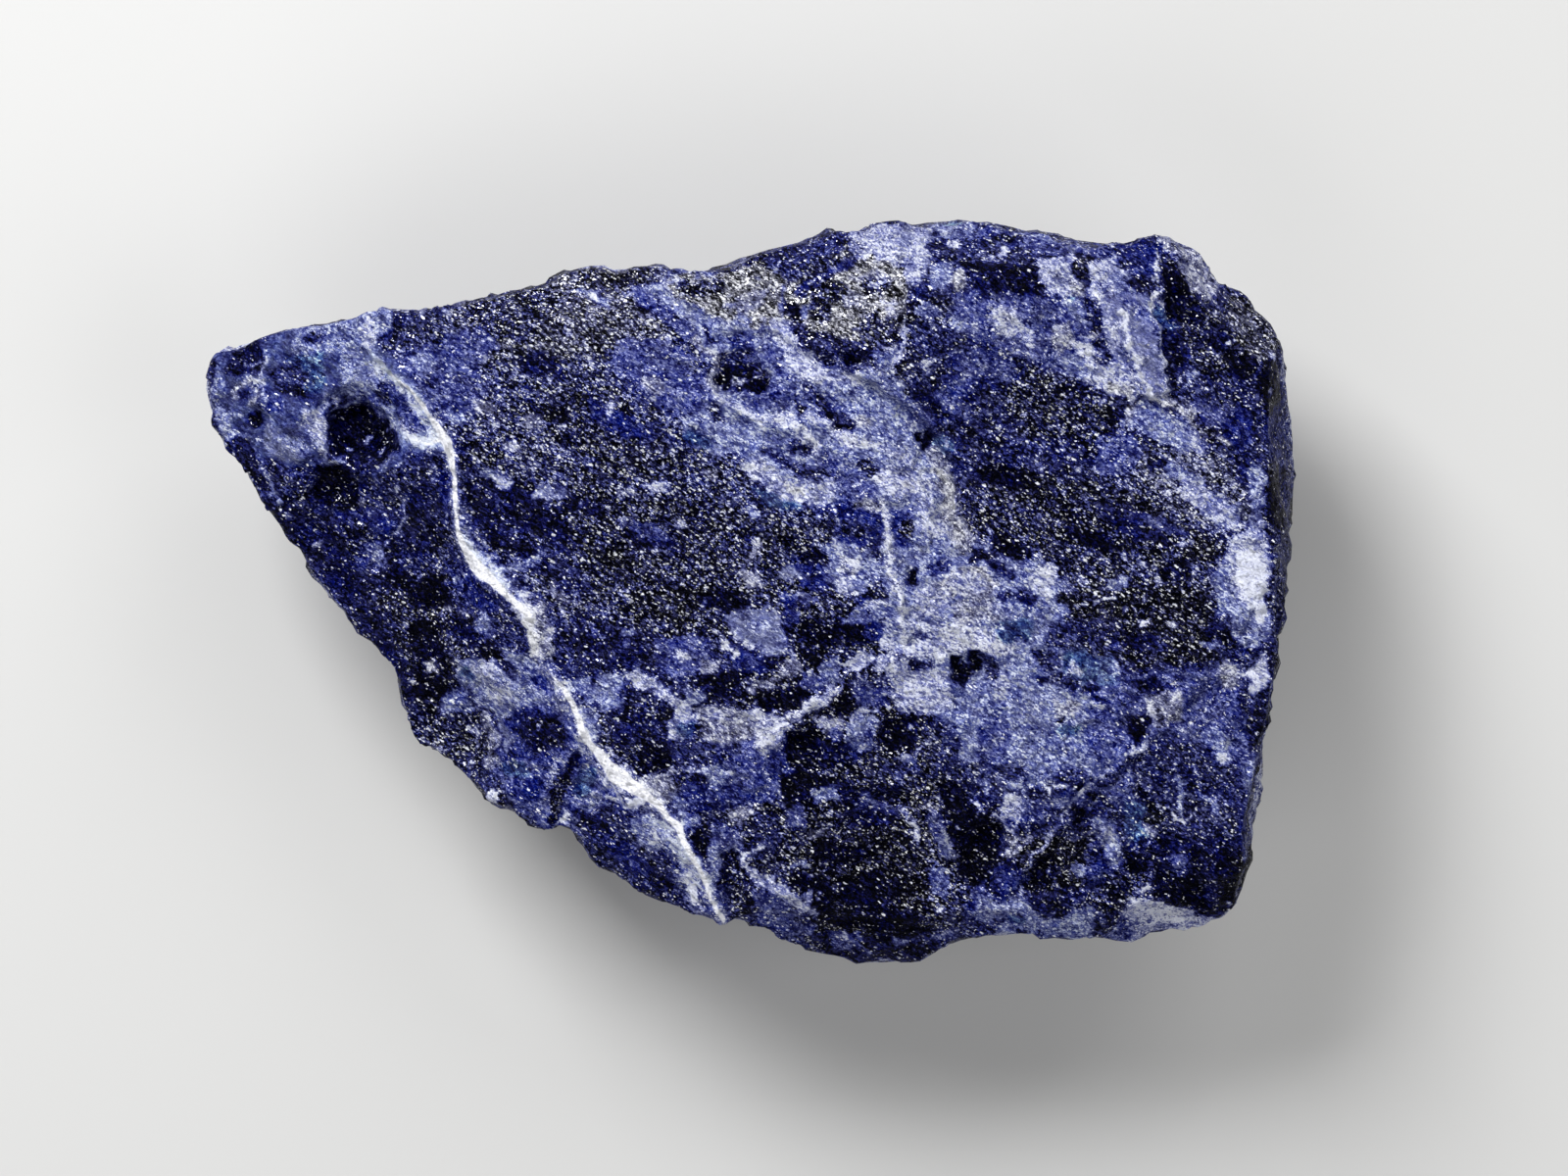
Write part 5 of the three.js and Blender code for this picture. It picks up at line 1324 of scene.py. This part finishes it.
def wandering(points, up, seed):
    """Where the drawn marks are read for each point, so that their edges are ragged.

    The marks are flat drawings. On steep sides they go on into the rock, leaning and wandering more with
    depth.
    """
    x, y, depth = as_seen(points, up)
    amount = WAVE + DEEPER_WAVE * depth
    x = x + amount * layered(*WAVE_X.over(points, seed), 2) + FRAY * layered(*FRAY_X.over(points, seed), 2)
    y = y + amount * layered(*WAVE_Y.over(points, seed), 2) + FRAY * layered(*FRAY_Y.over(points, seed), 2)
    return x, y


def side_of_line(x, y, points):
    """Distance to a line through the points, and how far each place lies on its left side."""
    best = np.full(x.shape, FAR)
    side = np.zeros(x.shape)
    for (ax, ay, *_), (bx, by, *_) in zip(points, points[1:]):
        length = math.hypot(bx - ax, by - ay)
        share = np.clip(((x - ax) * (bx - ax) + (y - ay) * (by - ay)) / length**2, 0, 1)
        gap = np.hypot(x - ax - share * (bx - ax), y - ay - share * (by - ay))
        left = ((bx - ax) * (y - ay) - (by - ay) * (x - ax)) / length
        nearer = gap < best
        best = np.where(nearer, gap, best)
        side = np.where(nearer, left, side)
    return best, side


def step_height(x, y, drop, reach, points):
    """Height of a step beside a line: up on its left and down on its right, fading with distance."""
    gap, side = side_of_line(x, y, points)
    return drop * (smooth(-0.3, 0.3, side) - 0.5) * np.exp(-gap / reach)


def relief(points, up, shape, steep):
    """Height of the broken surface over the solid at each point, in millimetres."""
    seed = shape.seed
    seen = up > 0
    x, y = wandering(points[seen], up[seen], seed)
    plates = np.zeros(len(points))
    plates[seen] = np.maximum(LEFT_PLATE.cover(x, y), RIGHT_PLATE.cover(x, y)) * up[seen]
    broken = 1 - PLATE_CALM * plates

    # the broken ground's own features
    rough = smooth(-0.15, 0.35, noise(*ROUGH.over(points, seed)))
    chipped = chips(*CHIP.over(points, seed)) + 0.5 * chips(*SMALL_CHIP.over(points, seed))
    flat = facets(*FACET.over(points, seed)) + 0.5 * facets(*SMALL_FACET.over(points, seed))
    ledge = ledges(*LEDGE.over(points, seed))
    stria = layered(*STRIA.over(points, seed), 2)
    tooth = layered(*TOOTH.over(points, seed), 2, 0.7)

    # Chips lie on rough ground only, and ledges are lower off it. Chips and facets are deeper on steep
    # sides, and the fine ridges are highest on the plates.
    height = layered(*SWELL.over(points, seed), 3) * shape.swell / MM
    height = height + broken * rough * (chipped - 0.45) * shape.chip / MM * (1 + 0.8 * steep)
    height = height + broken * flat * shape.facet / MM * (1.2 + steep)
    height = height + broken * (0.35 + 0.65 * rough) * ledge * shape.ledge / MM
    height = height + stria * shape.stria / MM * (0.4 + plates)
    height = height + tooth * shape.tooth / MM

    # what is drawn on the top, and the main vein's low ridge
    drawn = np.zeros(len(x))
    for amount, cover in RELIEF:
        drawn += amount * cover(x, y)
    for drop, reach, line in STEPS:
        drawn += step_height(x, y, drop, reach, line)
    drawn += RIDGE_HEIGHT * smooth(RIDGE_WIDTH, 0, distance_to_line(x, y, VEINS[0]))
    height[seen] += drawn * up[seen]
    return height


def plain_ground(points, ragged, seed):
    """The finish of the sides and the underside, where nothing is drawn: a row of values for each point."""
    # broad waves with ragged clouds on their crests, thin pale wisps, and dark pockets
    broad = layered(*CLOUD.over(points, seed), 4, 0.6)
    wisps = smooth(0.09, 0.0, np.abs(layered(*WISP.over(points, seed), 3, 0.6)))
    clouds = smooth(0.16, 0.32, broad + 0.30 * ragged)
    pockets = smooth(0.10, 0.26, layered(*POCKET.over(points, seed), 3) + 0.30 * ragged)
    found = Finish(
        tone=0.25 + 0.30 * broad + 0.24 * clouds + 0.34 * wisps - 0.32 * pockets,
        grey=0.7 * smooth(0.45, 0.75, noise(*GREYING.over(points, seed))),
        fleck=np.full(len(points), 0.65),
        cloud=np.ones(len(points)),
        teal=smooth(0.5, 0.8, noise(*TEALING.over(points, seed))),
    )
    return np.stack(found, -1)


def marks_at(points, up, seed):
    """Tone, greyness, share of bright grains and painted glints, cloudiness and teal tint at each point."""
    seen = up > 0
    x, y = wandering(points[seen], up[seen], seed)
    drawn = np.tile(np.array(FINISHES["navy"]), (len(x), 1))
    crumbs = chips(*CRUMB.over(points, seed)) - 0.3
    ragged = SHRED_SHARE * layered(*SHRED.over(points, seed), 2) + CRUMB_SHARE * crumbs
    veil = np.clip(1.0 + VEIL_CHANGE * layered(*VEIL.over(points[seen], seed), 3), THINNEST, 1)
    for mark in MARKS:
        cover = veil * smooth(MARK_FROM, MARK_TO, mark.cover(x, y) + RAGGED * ragged[seen])
        drawn += (np.array(FINISHES[mark.finish]) - drawn) * cover[:, None]
    found = plain_ground(points, ragged, seed)
    found[seen] += (drawn - found[seen]) * up[seen, None]
    return found


def vein_at(points, up, seed):
    """Distance in millimetres from the edge of the nearest white vein: negative inside it."""
    x, y, _ = as_seen(points, up)
    x = x + VEIN_WANDER * layered(*VEIN_X.over(points, seed), 2)
    y = y + VEIN_WANDER * layered(*VEIN_Y.over(points, seed), 2)
    gap = np.full(len(points), float(VEIN_REACH))
    for line in VEINS:
        gap = np.minimum(gap, distance_to_line(x, y, line))
    # The main vein's right side is soft. From Y -2 to Y 9 its left side is soft in place of that, and from
    # Y 9 to Y 14 neither is.
    soft_side = (side_of_line(x, y, VEINS[0])[1] < 0) ^ ((y > -2) & (y < 9))
    soft_side &= (y < 9) | (y > 14)
    # Distance grows slowly on a soft side and quickly elsewhere.
    gap = np.where(soft_side & (gap > 0.2), 0.1 + gap * 0.5, gap * 1.5)
    gap = gap + VEIN_FRAY * layered(*VEIN_EDGE.over(points, seed), 2)
    return np.clip(gap, -VEIN_REACH, VEIN_REACH)


def set_attribute(mesh, name, values):
    """Keeps one number for each point of the mesh under a name."""
    layer = mesh.attributes.new(name, "FLOAT", "POINT")
    layer.data.foreach_set("value", np.ascontiguousarray(values, np.float32))


def shape_stone(mesh, shape):
    """The even mesh with its broken surface and the attributes that the finish reads."""
    points = points_of(mesh)
    normals = averaged(mesh, normals_of(mesh), RELIEF_ROUNDS)
    normals /= np.linalg.norm(normals, axis=1, keepdims=True)
    broad = averaged(mesh, normals, SIDE_ROUNDS)
    broad /= np.linalg.norm(broad, axis=1, keepdims=True)
    up = smooth(TOP_FROM, TOP_TO, broad[:, 2])
    steep = 1 - smooth(STEEP_FROM, STEEP_TO, np.abs(broad[:, 2]))
    for name, column in zip(Finish._fields, marks_at(points, up, shape.seed).T):
        set_attribute(mesh, name, column)
    set_attribute(mesh, "gap", vein_at(points, up, shape.seed))
    height = relief(points, up, shape, steep) * smooth(RELIEF_FROM, RELIEF_TO, points[:, 2])
    moved = points + normals * height[:, None]
    moved[:, 2] = np.where(points[:, 2] < FLAT_SPOT_UP_TO, 0, np.clip(moved[:, 2], 0, None))
    mesh.vertices.foreach_set("co", (moved * MM).ravel())
    mesh.polygons.foreach_set("use_smooth", np.ones(len(mesh.polygons), bool))
    mesh.update()
    return thinned(mesh, broad[:, 2] < LOOSE_BELOW, shape.triangles)


# ---------------- shader expressions


class Value:
    """A number in a shader. Python's operators on it add the Math nodes that work them out."""

    def __init__(self, shader, socket):
        self.shader = shader
        self.socket = socket

    def math(self, operation, *others):
        return self.shader.value("ShaderNodeMath", {"operation": operation}, (self, *others))

    def __add__(self, other):
        return self.math("ADD", other)

    def __sub__(self, other):
        return self.math("SUBTRACT", other)

    def __rsub__(self, other):
        return self.shader.value("ShaderNodeMath", {"operation": "SUBTRACT"}, (other, self))

    def __mul__(self, other):
        return self.math("MULTIPLY", other)

    __radd__ = __add__
    __rmul__ = __mul__

    def step(self, low, high):
        """Smooth step from 0 at low to 1 at high."""
        if low > high:
            return 1 - self.step(high, low)
        values = {"Value": self, "From Min": low, "From Max": high}
        return self.shader.value("ShaderNodeMapRange", {"interpolation_type": "SMOOTHSTEP"}, values)


class Shader:
    """Adds nodes to a material's tree."""

    def __init__(self, tree):
        self.tree = tree

    def node(self, kind, settings=None, values=()):
        """Adds a node: its settings first, then the values or links of its sockets, by place or by name."""
        made = self.tree.nodes.new(kind)
        for key, setting in (settings or {}).items():
            if key == "stops":
                ramp = made.color_ramp
                while len(ramp.elements) < len(setting):
                    ramp.elements.new(1)
                for element, (place, colour) in zip(ramp.elements, setting):
                    element.position = place
                    element.color = (*colour, 1)
            else:
                setattr(made, key, setting)
        for key, given in values.items() if isinstance(values, dict) else enumerate(values):
            socket = made.inputs[key]
            if isinstance(given, Value):
                self.tree.links.new(given.socket, socket)
            elif isinstance(given, bpy.types.NodeSocket):
                self.tree.links.new(given, socket)
            elif given is not None:
                socket.default_value = (*given, 1) if socket.type == "RGBA" and len(given) == 3 else given
        return made

    def value(self, kind, settings=None, values=(), output=0):
        """A number from one output of a new node."""
        return Value(self, self.node(kind, settings, values).outputs[output])

    def vector(self, operation, *values):
        """A vector worked out from others."""
        return self.node("ShaderNodeVectorMath", {"operation": operation}, values).outputs[0]

    def attribute(self, name):
        """A number kept at the mesh's points."""
        return self.value("ShaderNodeAttribute", {"attribute_name": name}, output="Fac")

    def noise(self, place, scale, detail, roughness=0.5):
        """Noise about 0, from -0.5 to 0.5."""
        values = {"Vector": place, "Scale": scale, "Detail": detail, "Roughness": roughness}
        return self.value("ShaderNodeTexNoise", {"noise_dimensions": "3D"}, values) - 0.5

    def mixed(self, share, first, second, blend="MIX"):
        """Two colours mixed by a share."""
        settings = {"data_type": "RGBA", "blend_type": blend}
        return self.node("ShaderNodeMix", settings, {"Factor": share, 6: first, 7: second}).outputs[2]


# How many features of each noise there are in a millimetre, about.
BILLOWS, MOTTLES, SPECKLES, BENDS, LEDGES, RIDGES = 0.42, 1.5, 7.5, 3.0, 0.6, 0.8
COARSE_GRAINS, FINE_GRAINS, PLANES, WEBS = 3.0, 5.4, 0.75, 0.6

# The grain of the rock: its direction in degrees, how many times as long as wide it is, and how far it is
# bent, in millimetres.
GRAIN_TURN, GRAIN_STRETCH, GRAIN_BEND = -32, 1.9, 0.35


def grains(shader, place, scale, wanted):
    """Grains packed side by side: how bright each is, a number for it, and the height of its tilted face."""
    cells = shader.node("ShaderNodeTexVoronoi", {"feature": "F1"}, {"Vector": place, "Scale": scale})
    parts = shader.node("ShaderNodeSeparateColor", {}, (cells.outputs["Color"],))
    chance, bright, number = (Value(shader, parts.outputs[i]) for i in range(3))
    round_grain = Value(shader, cells.outputs["Distance"]).step(0.55, 0.25)
    # The bright grains stand for white grains and for painted glints together.
    grain_and_glint = round_grain * (chance + wanted - 1).step(0.0, 0.10) * (bright * bright * 0.8 + 0.2)
    off_centre = shader.vector("SUBTRACT", place, cells.outputs["Position"])
    lean = shader.vector("SUBTRACT", cells.outputs["Color"], (0.5, 0.5, 0.5))
    tilted = shader.value("ShaderNodeVectorMath", {"operation": "DOT_PRODUCT"}, (off_centre, lean), "Value")
    return grain_and_glint, number - 0.5, tilted


def rock_places(shader):
    """Places in the rock in millimetres: plain, drawn out along its grain, and that bent by small waves."""
    object_place = shader.node("ShaderNodeTexCoord").outputs["Object"]
    in_mm = {0: object_place, "Scale": 1 / MM}
    place = shader.node("ShaderNodeVectorMath", {"operation": "SCALE"}, in_mm).outputs[0]
    turn = (0, 0, math.radians(GRAIN_TURN))
    along = {"Vector": place, "Rotation": turn, "Scale": (GRAIN_STRETCH, 1, 1)}
    streaked = shader.node("ShaderNodeMapping", {"vector_type": "TEXTURE"}, along).outputs[0]
    waves = {"Vector": place, "Scale": BENDS, "Detail": 2}
    wave = shader.node("ShaderNodeTexNoise", {}, waves).outputs["Color"]
    push = shader.vector("SUBTRACT", wave, (0.5, 0.5, 0.5))
    bent = shader.vector("MULTIPLY_ADD", push, (GRAIN_BEND,) * 3, streaked)
    return place, streaked, bent


def stone_material(colours):
    """The rock: a run of blues over the drawn tone, with bright grains that are partly painted glints, white
    veins and grain in relief.
    """
    material = bpy.data.materials.new("sodalite")
    material.use_nodes = True
    tree = material.node_tree
    tree.nodes.clear()
    shader = Shader(tree)
    place, streaked, bent = rock_places(shader)
    tone, grey, fleck, cloudy, teal, gap = (
        shader.attribute(name) for name in ("tone", "grey", "fleck", "cloud", "teal", "gap")
    )

    # soft noises, from the broadest to the finest
    billow = shader.noise(place, BILLOWS, 4, 0.55)
    mottle = shader.noise(streaked, MOTTLES, 4, 0.62)
    speckle = shader.noise(streaked, SPECKLES, 2, 0.65)

    # grains, more of them bright where more flecks are drawn (the bright ones are white grains and painted
    # glints), and the larger planes that the rock splits on
    wanted = fleck + mottle * 2.6
    coarse_grain_and_glint, coarse_tone, coarse_face = grains(shader, bent, COARSE_GRAINS, wanted * 0.30)
    fine_grain_and_glint, fine_tone, fine_face = grains(shader, bent, FINE_GRAINS, wanted * 0.60)
    _, plane_tone, plane_face = grains(shader, bent, PLANES, fleck)
    grain_and_glint = coarse_grain_and_glint.math("MAXIMUM", fine_grain_and_glint)
    grain = coarse_tone * 0.5 + fine_tone * 1.4 + speckle * 3.0

    # thin pale threads: a web between planes, and the crests of ledges
    web_cells = {"Vector": bent, "Scale": WEBS}
    web = shader.value("ShaderNodeTexVoronoi", {"feature": "DISTANCE_TO_EDGE"}, web_cells).step(0.06, 0.0)
    ledge = (shader.noise(streaked, LEDGES, 3, 0.5) * 6).math("FRACT")
    crest = ledge.step(0.80, 0.98) * ledge.step(1.0, 0.98)
    thread = crest.math("MAXIMUM", web * billow.step(-0.05, 0.15))

    # sharp ridges, about 0
    ridges = {
        "Vector": bent, "Scale": RIDGES, "Detail": 5, "Roughness": 0.62, "Lacunarity": 2.2,
        "Offset": 1.0, "Gain": 1.6,
    }
    ridged = {"noise_dimensions": "3D", "noise_type": "RIDGED_MULTIFRACTAL"}
    ridge = shader.value("ShaderNodeTexNoise", ridged, ridges) - 1.15

    # the drawn tone with clouds, grain and threads over it, and painted shade that rises and drops with each
    # ledge
    pale = tone.step(0.3, 0.7)
    cloud = billow * 0.26 + mottle * 0.40 + ridge * 0.18 + plane_tone * 0.16
    tone = tone + cloud * cloudy + grain * (fleck * 0.46 + 0.14)
    # each ledge's rise lightens the tone and its drop darkens it: painted shade following the ledges' height
    tone = tone + ((ledge - 0.5) * 0.10 + thread * 0.26 * (pale + 0.22)) * cloudy

    # a white vein's core, and the pale rock beside it
    edge = gap + grain * 0.08 + mottle * 0.25
    halo = (edge + mottle).step(1.1, -0.1) * 0.40
    core = edge.step(0.12, -0.12)
    # the bright grains lighten the tone, as white grains and painted glints
    tone = tone + halo + grain_and_glint * 0.75

    # from tone to colour
    stops = (
        (0.0, colours.black), (0.12, colours.ink), (0.28, colours.navy), (0.43, colours.slate),
        (0.58, colours.haze), (0.74, colours.lavender), (0.96, colours.frost),
    )
    run = shader.node("ShaderNodeValToRGB", {"stops": stops}, (tone,)).outputs[0]
    run = shader.mixed(teal * 0.8, run, colours.teal, "MULTIPLY")
    saturation = 1 - grey * 0.85 + mottle * 0.5 + billow * 0.5
    rock = shader.node("ShaderNodeHueSaturation", {}, {"Saturation": saturation, "Color": run}).outputs[0]
    # bright grains take the fleck colour, as white grains and painted glints
    rock = shader.mixed((grain_and_glint - 0.15).step(0.0, 0.75) * 0.9, rock, colours.fleck)
    rock = shader.mixed(core, rock, colours.vein)

    # the surface: glossy on bright grains, with every grain tilted its own way
    shine = 0.30 - grain_and_glint * 0.10 + tone * 0.18
    faces = coarse_face * 1.4 + fine_face * 1.3 + plane_face * 0.5
    bumps = faces + mottle * 0.2 + ledge * 0.16 + ridge * 0.10
    bump = shader.node("ShaderNodeBump", {}, {"Strength": 1.0, "Distance": MM, "Height": bumps}).outputs[0]
    finish = {
        "Base Color": rock, "Roughness": shine, "IOR": 1.48, "Specular IOR Level": 0.03, "Normal": bump,
        "Coat Weight": grain_and_glint.step(0.1, 0.6), "Coat Roughness": 0.14, "Coat IOR": 2.1,
    }
    surface = shader.node("ShaderNodeBsdfPrincipled", {}, finish)
    shader.node("ShaderNodeOutputMaterial", {}, {"Surface": surface.outputs[0]})
    return material


# ---------------- operators, panel and main


# How many of the stone's lengths the floor reaches each way, and how many the lights stand away.
FLOOR_REACH, LIGHT_AWAY = 12, 7

# The camera's focal length in millimetres.
LENS = 135


class AddStone(bpy.types.Operator):
    """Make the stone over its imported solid, with its relief, markings and finish"""

    bl_idname = "sodalite.stone"
    bl_label = "Stone"

    def execute(self, context):
        shape = context.scene.sodalite_shape
        mesh = fine_mesh(STONE_NODE, shape.grid)
        if len(mesh.vertices) == 0:
            raise RuntimeError("the packed solid gave no fine mesh")
        mesh = shape_stone(mesh, shape)
        mesh.materials.clear()
        mesh.materials.append(stone_material(context.scene.sodalite_colours))
        stone = bpy.data.objects.new("stone", mesh)
        context.collection.objects.link(stone)
        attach(stone, "root")
        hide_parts(STONE_NODE)
        return {"FINISHED"}


def area_light(name, place, aim, size, power):
    """A soft, square light at a place, turned towards an aim."""
    data = bpy.data.lights.new(name, "AREA")
    data.size = size
    data.energy = power
    light = bpy.data.objects.new(name, data)
    light.location = place
    light.rotation_euler = (Vector(aim) - Vector(place)).to_track_quat("-Z", "Y").to_euler()
    bpy.context.collection.objects.link(light)


class AddStage(bpy.types.Operator):
    """Make the floor, the lights and the camera"""

    bl_idname = "sodalite.stage"
    bl_label = "Stage"

    def execute(self, context):
        stage = context.scene.sodalite_stage
        low, high = CAD_BOX
        length = high.x - low.x
        middle = (low + high) / 2

        reach = FLOOR_REACH * length
        mesh = bpy.data.meshes.new("floor")
        corners = [(x * reach, y * reach, 0) for x, y in ((-1, -1), (1, -1), (1, 1), (-1, 1))]
        mesh.from_pydata(corners, [], [(0, 1, 2, 3)])
        material = bpy.data.materials.new("floor")
        material.use_nodes = True
        surface = material.node_tree.nodes["Principled BSDF"]
        surface.inputs["Base Color"].default_value = (*stage.floor, 1)
        surface.inputs["Roughness"].default_value = 0.9
        mesh.materials.append(material)
        floor = bpy.data.objects.new("floor", mesh)
        context.collection.objects.link(floor)

        # name, degrees round from +X, degrees above the floor, size in metres, power
        for name, turn, climb, size, power in (
            ("key", 125, 38, 0.36, stage.key),
            ("fill", -20, 40, 0.6, stage.fill),
            ("back", 60, 30, 0.48, stage.fill),
            ("low", -120, 35, 0.6, stage.fill),
        ):
            around, above = math.radians(turn), math.radians(climb)
            across = math.cos(above)
            away = Vector((math.cos(around) * across, math.sin(around) * across, math.sin(above)))
            area_light(name, middle + away * LIGHT_AWAY * length, middle, size, power)

        world = bpy.data.worlds.new("room")
        world.use_nodes = True
        world.node_tree.nodes["Background"].inputs["Strength"].default_value = stage.room
        context.scene.world = world

        data = bpy.data.cameras.new("camera")
        data.lens = LENS
        camera = bpy.data.objects.new("camera", data)
        distance = stage.view_width * data.lens / data.sensor_width
        camera.location = (EYE_X * MM, EYE_Y * MM, LEVEL * MM + distance)
        context.collection.objects.link(camera)
        context.scene.camera = camera
        context.scene.view_settings.view_transform = "Standard"
        return {"FINISHED"}


class SodalitePanel(bpy.types.Panel):
    """Lists what can be made"""

    bl_idname = "VIEW3D_PT_sodalite"
    bl_label = "Rough sodalite"
    bl_space_type = "VIEW_3D"
    bl_region_type = "UI"
    bl_category = "Sodalite"

    def draw(self, context):
        for group in ("sodalite_shape", "sodalite_colours", "sodalite_stage"):
            box = self.layout.box()
            for name in getattr(context.scene, group).__annotations__:
                box.prop(getattr(context.scene, group), name)
        for operator in OPERATORS:
            self.layout.operator(operator.bl_idname)


OPERATORS = (AddStone, AddStage)
GROUPS = {"sodalite_shape": StoneShape, "sodalite_colours": StoneColours, "sodalite_stage": StageSettings}


def register():
    for cls in (*GROUPS.values(), *OPERATORS, SodalitePanel):
        bpy.utils.register_class(cls)
    for name, cls in GROUPS.items():
        setattr(bpy.types.Scene, name, PointerProperty(type=cls))


def unregister():
    for name in GROUPS:
        delattr(bpy.types.Scene, name)
    for cls in (SodalitePanel, *reversed(OPERATORS), *reversed(GROUPS.values())):
        bpy.utils.unregister_class(cls)


def main():
    """Makes the stone and its stage."""
    register()
    bpy.ops.sodalite.stone()
    bpy.ops.sodalite.stage()


if __name__ == "__main__":
    main()
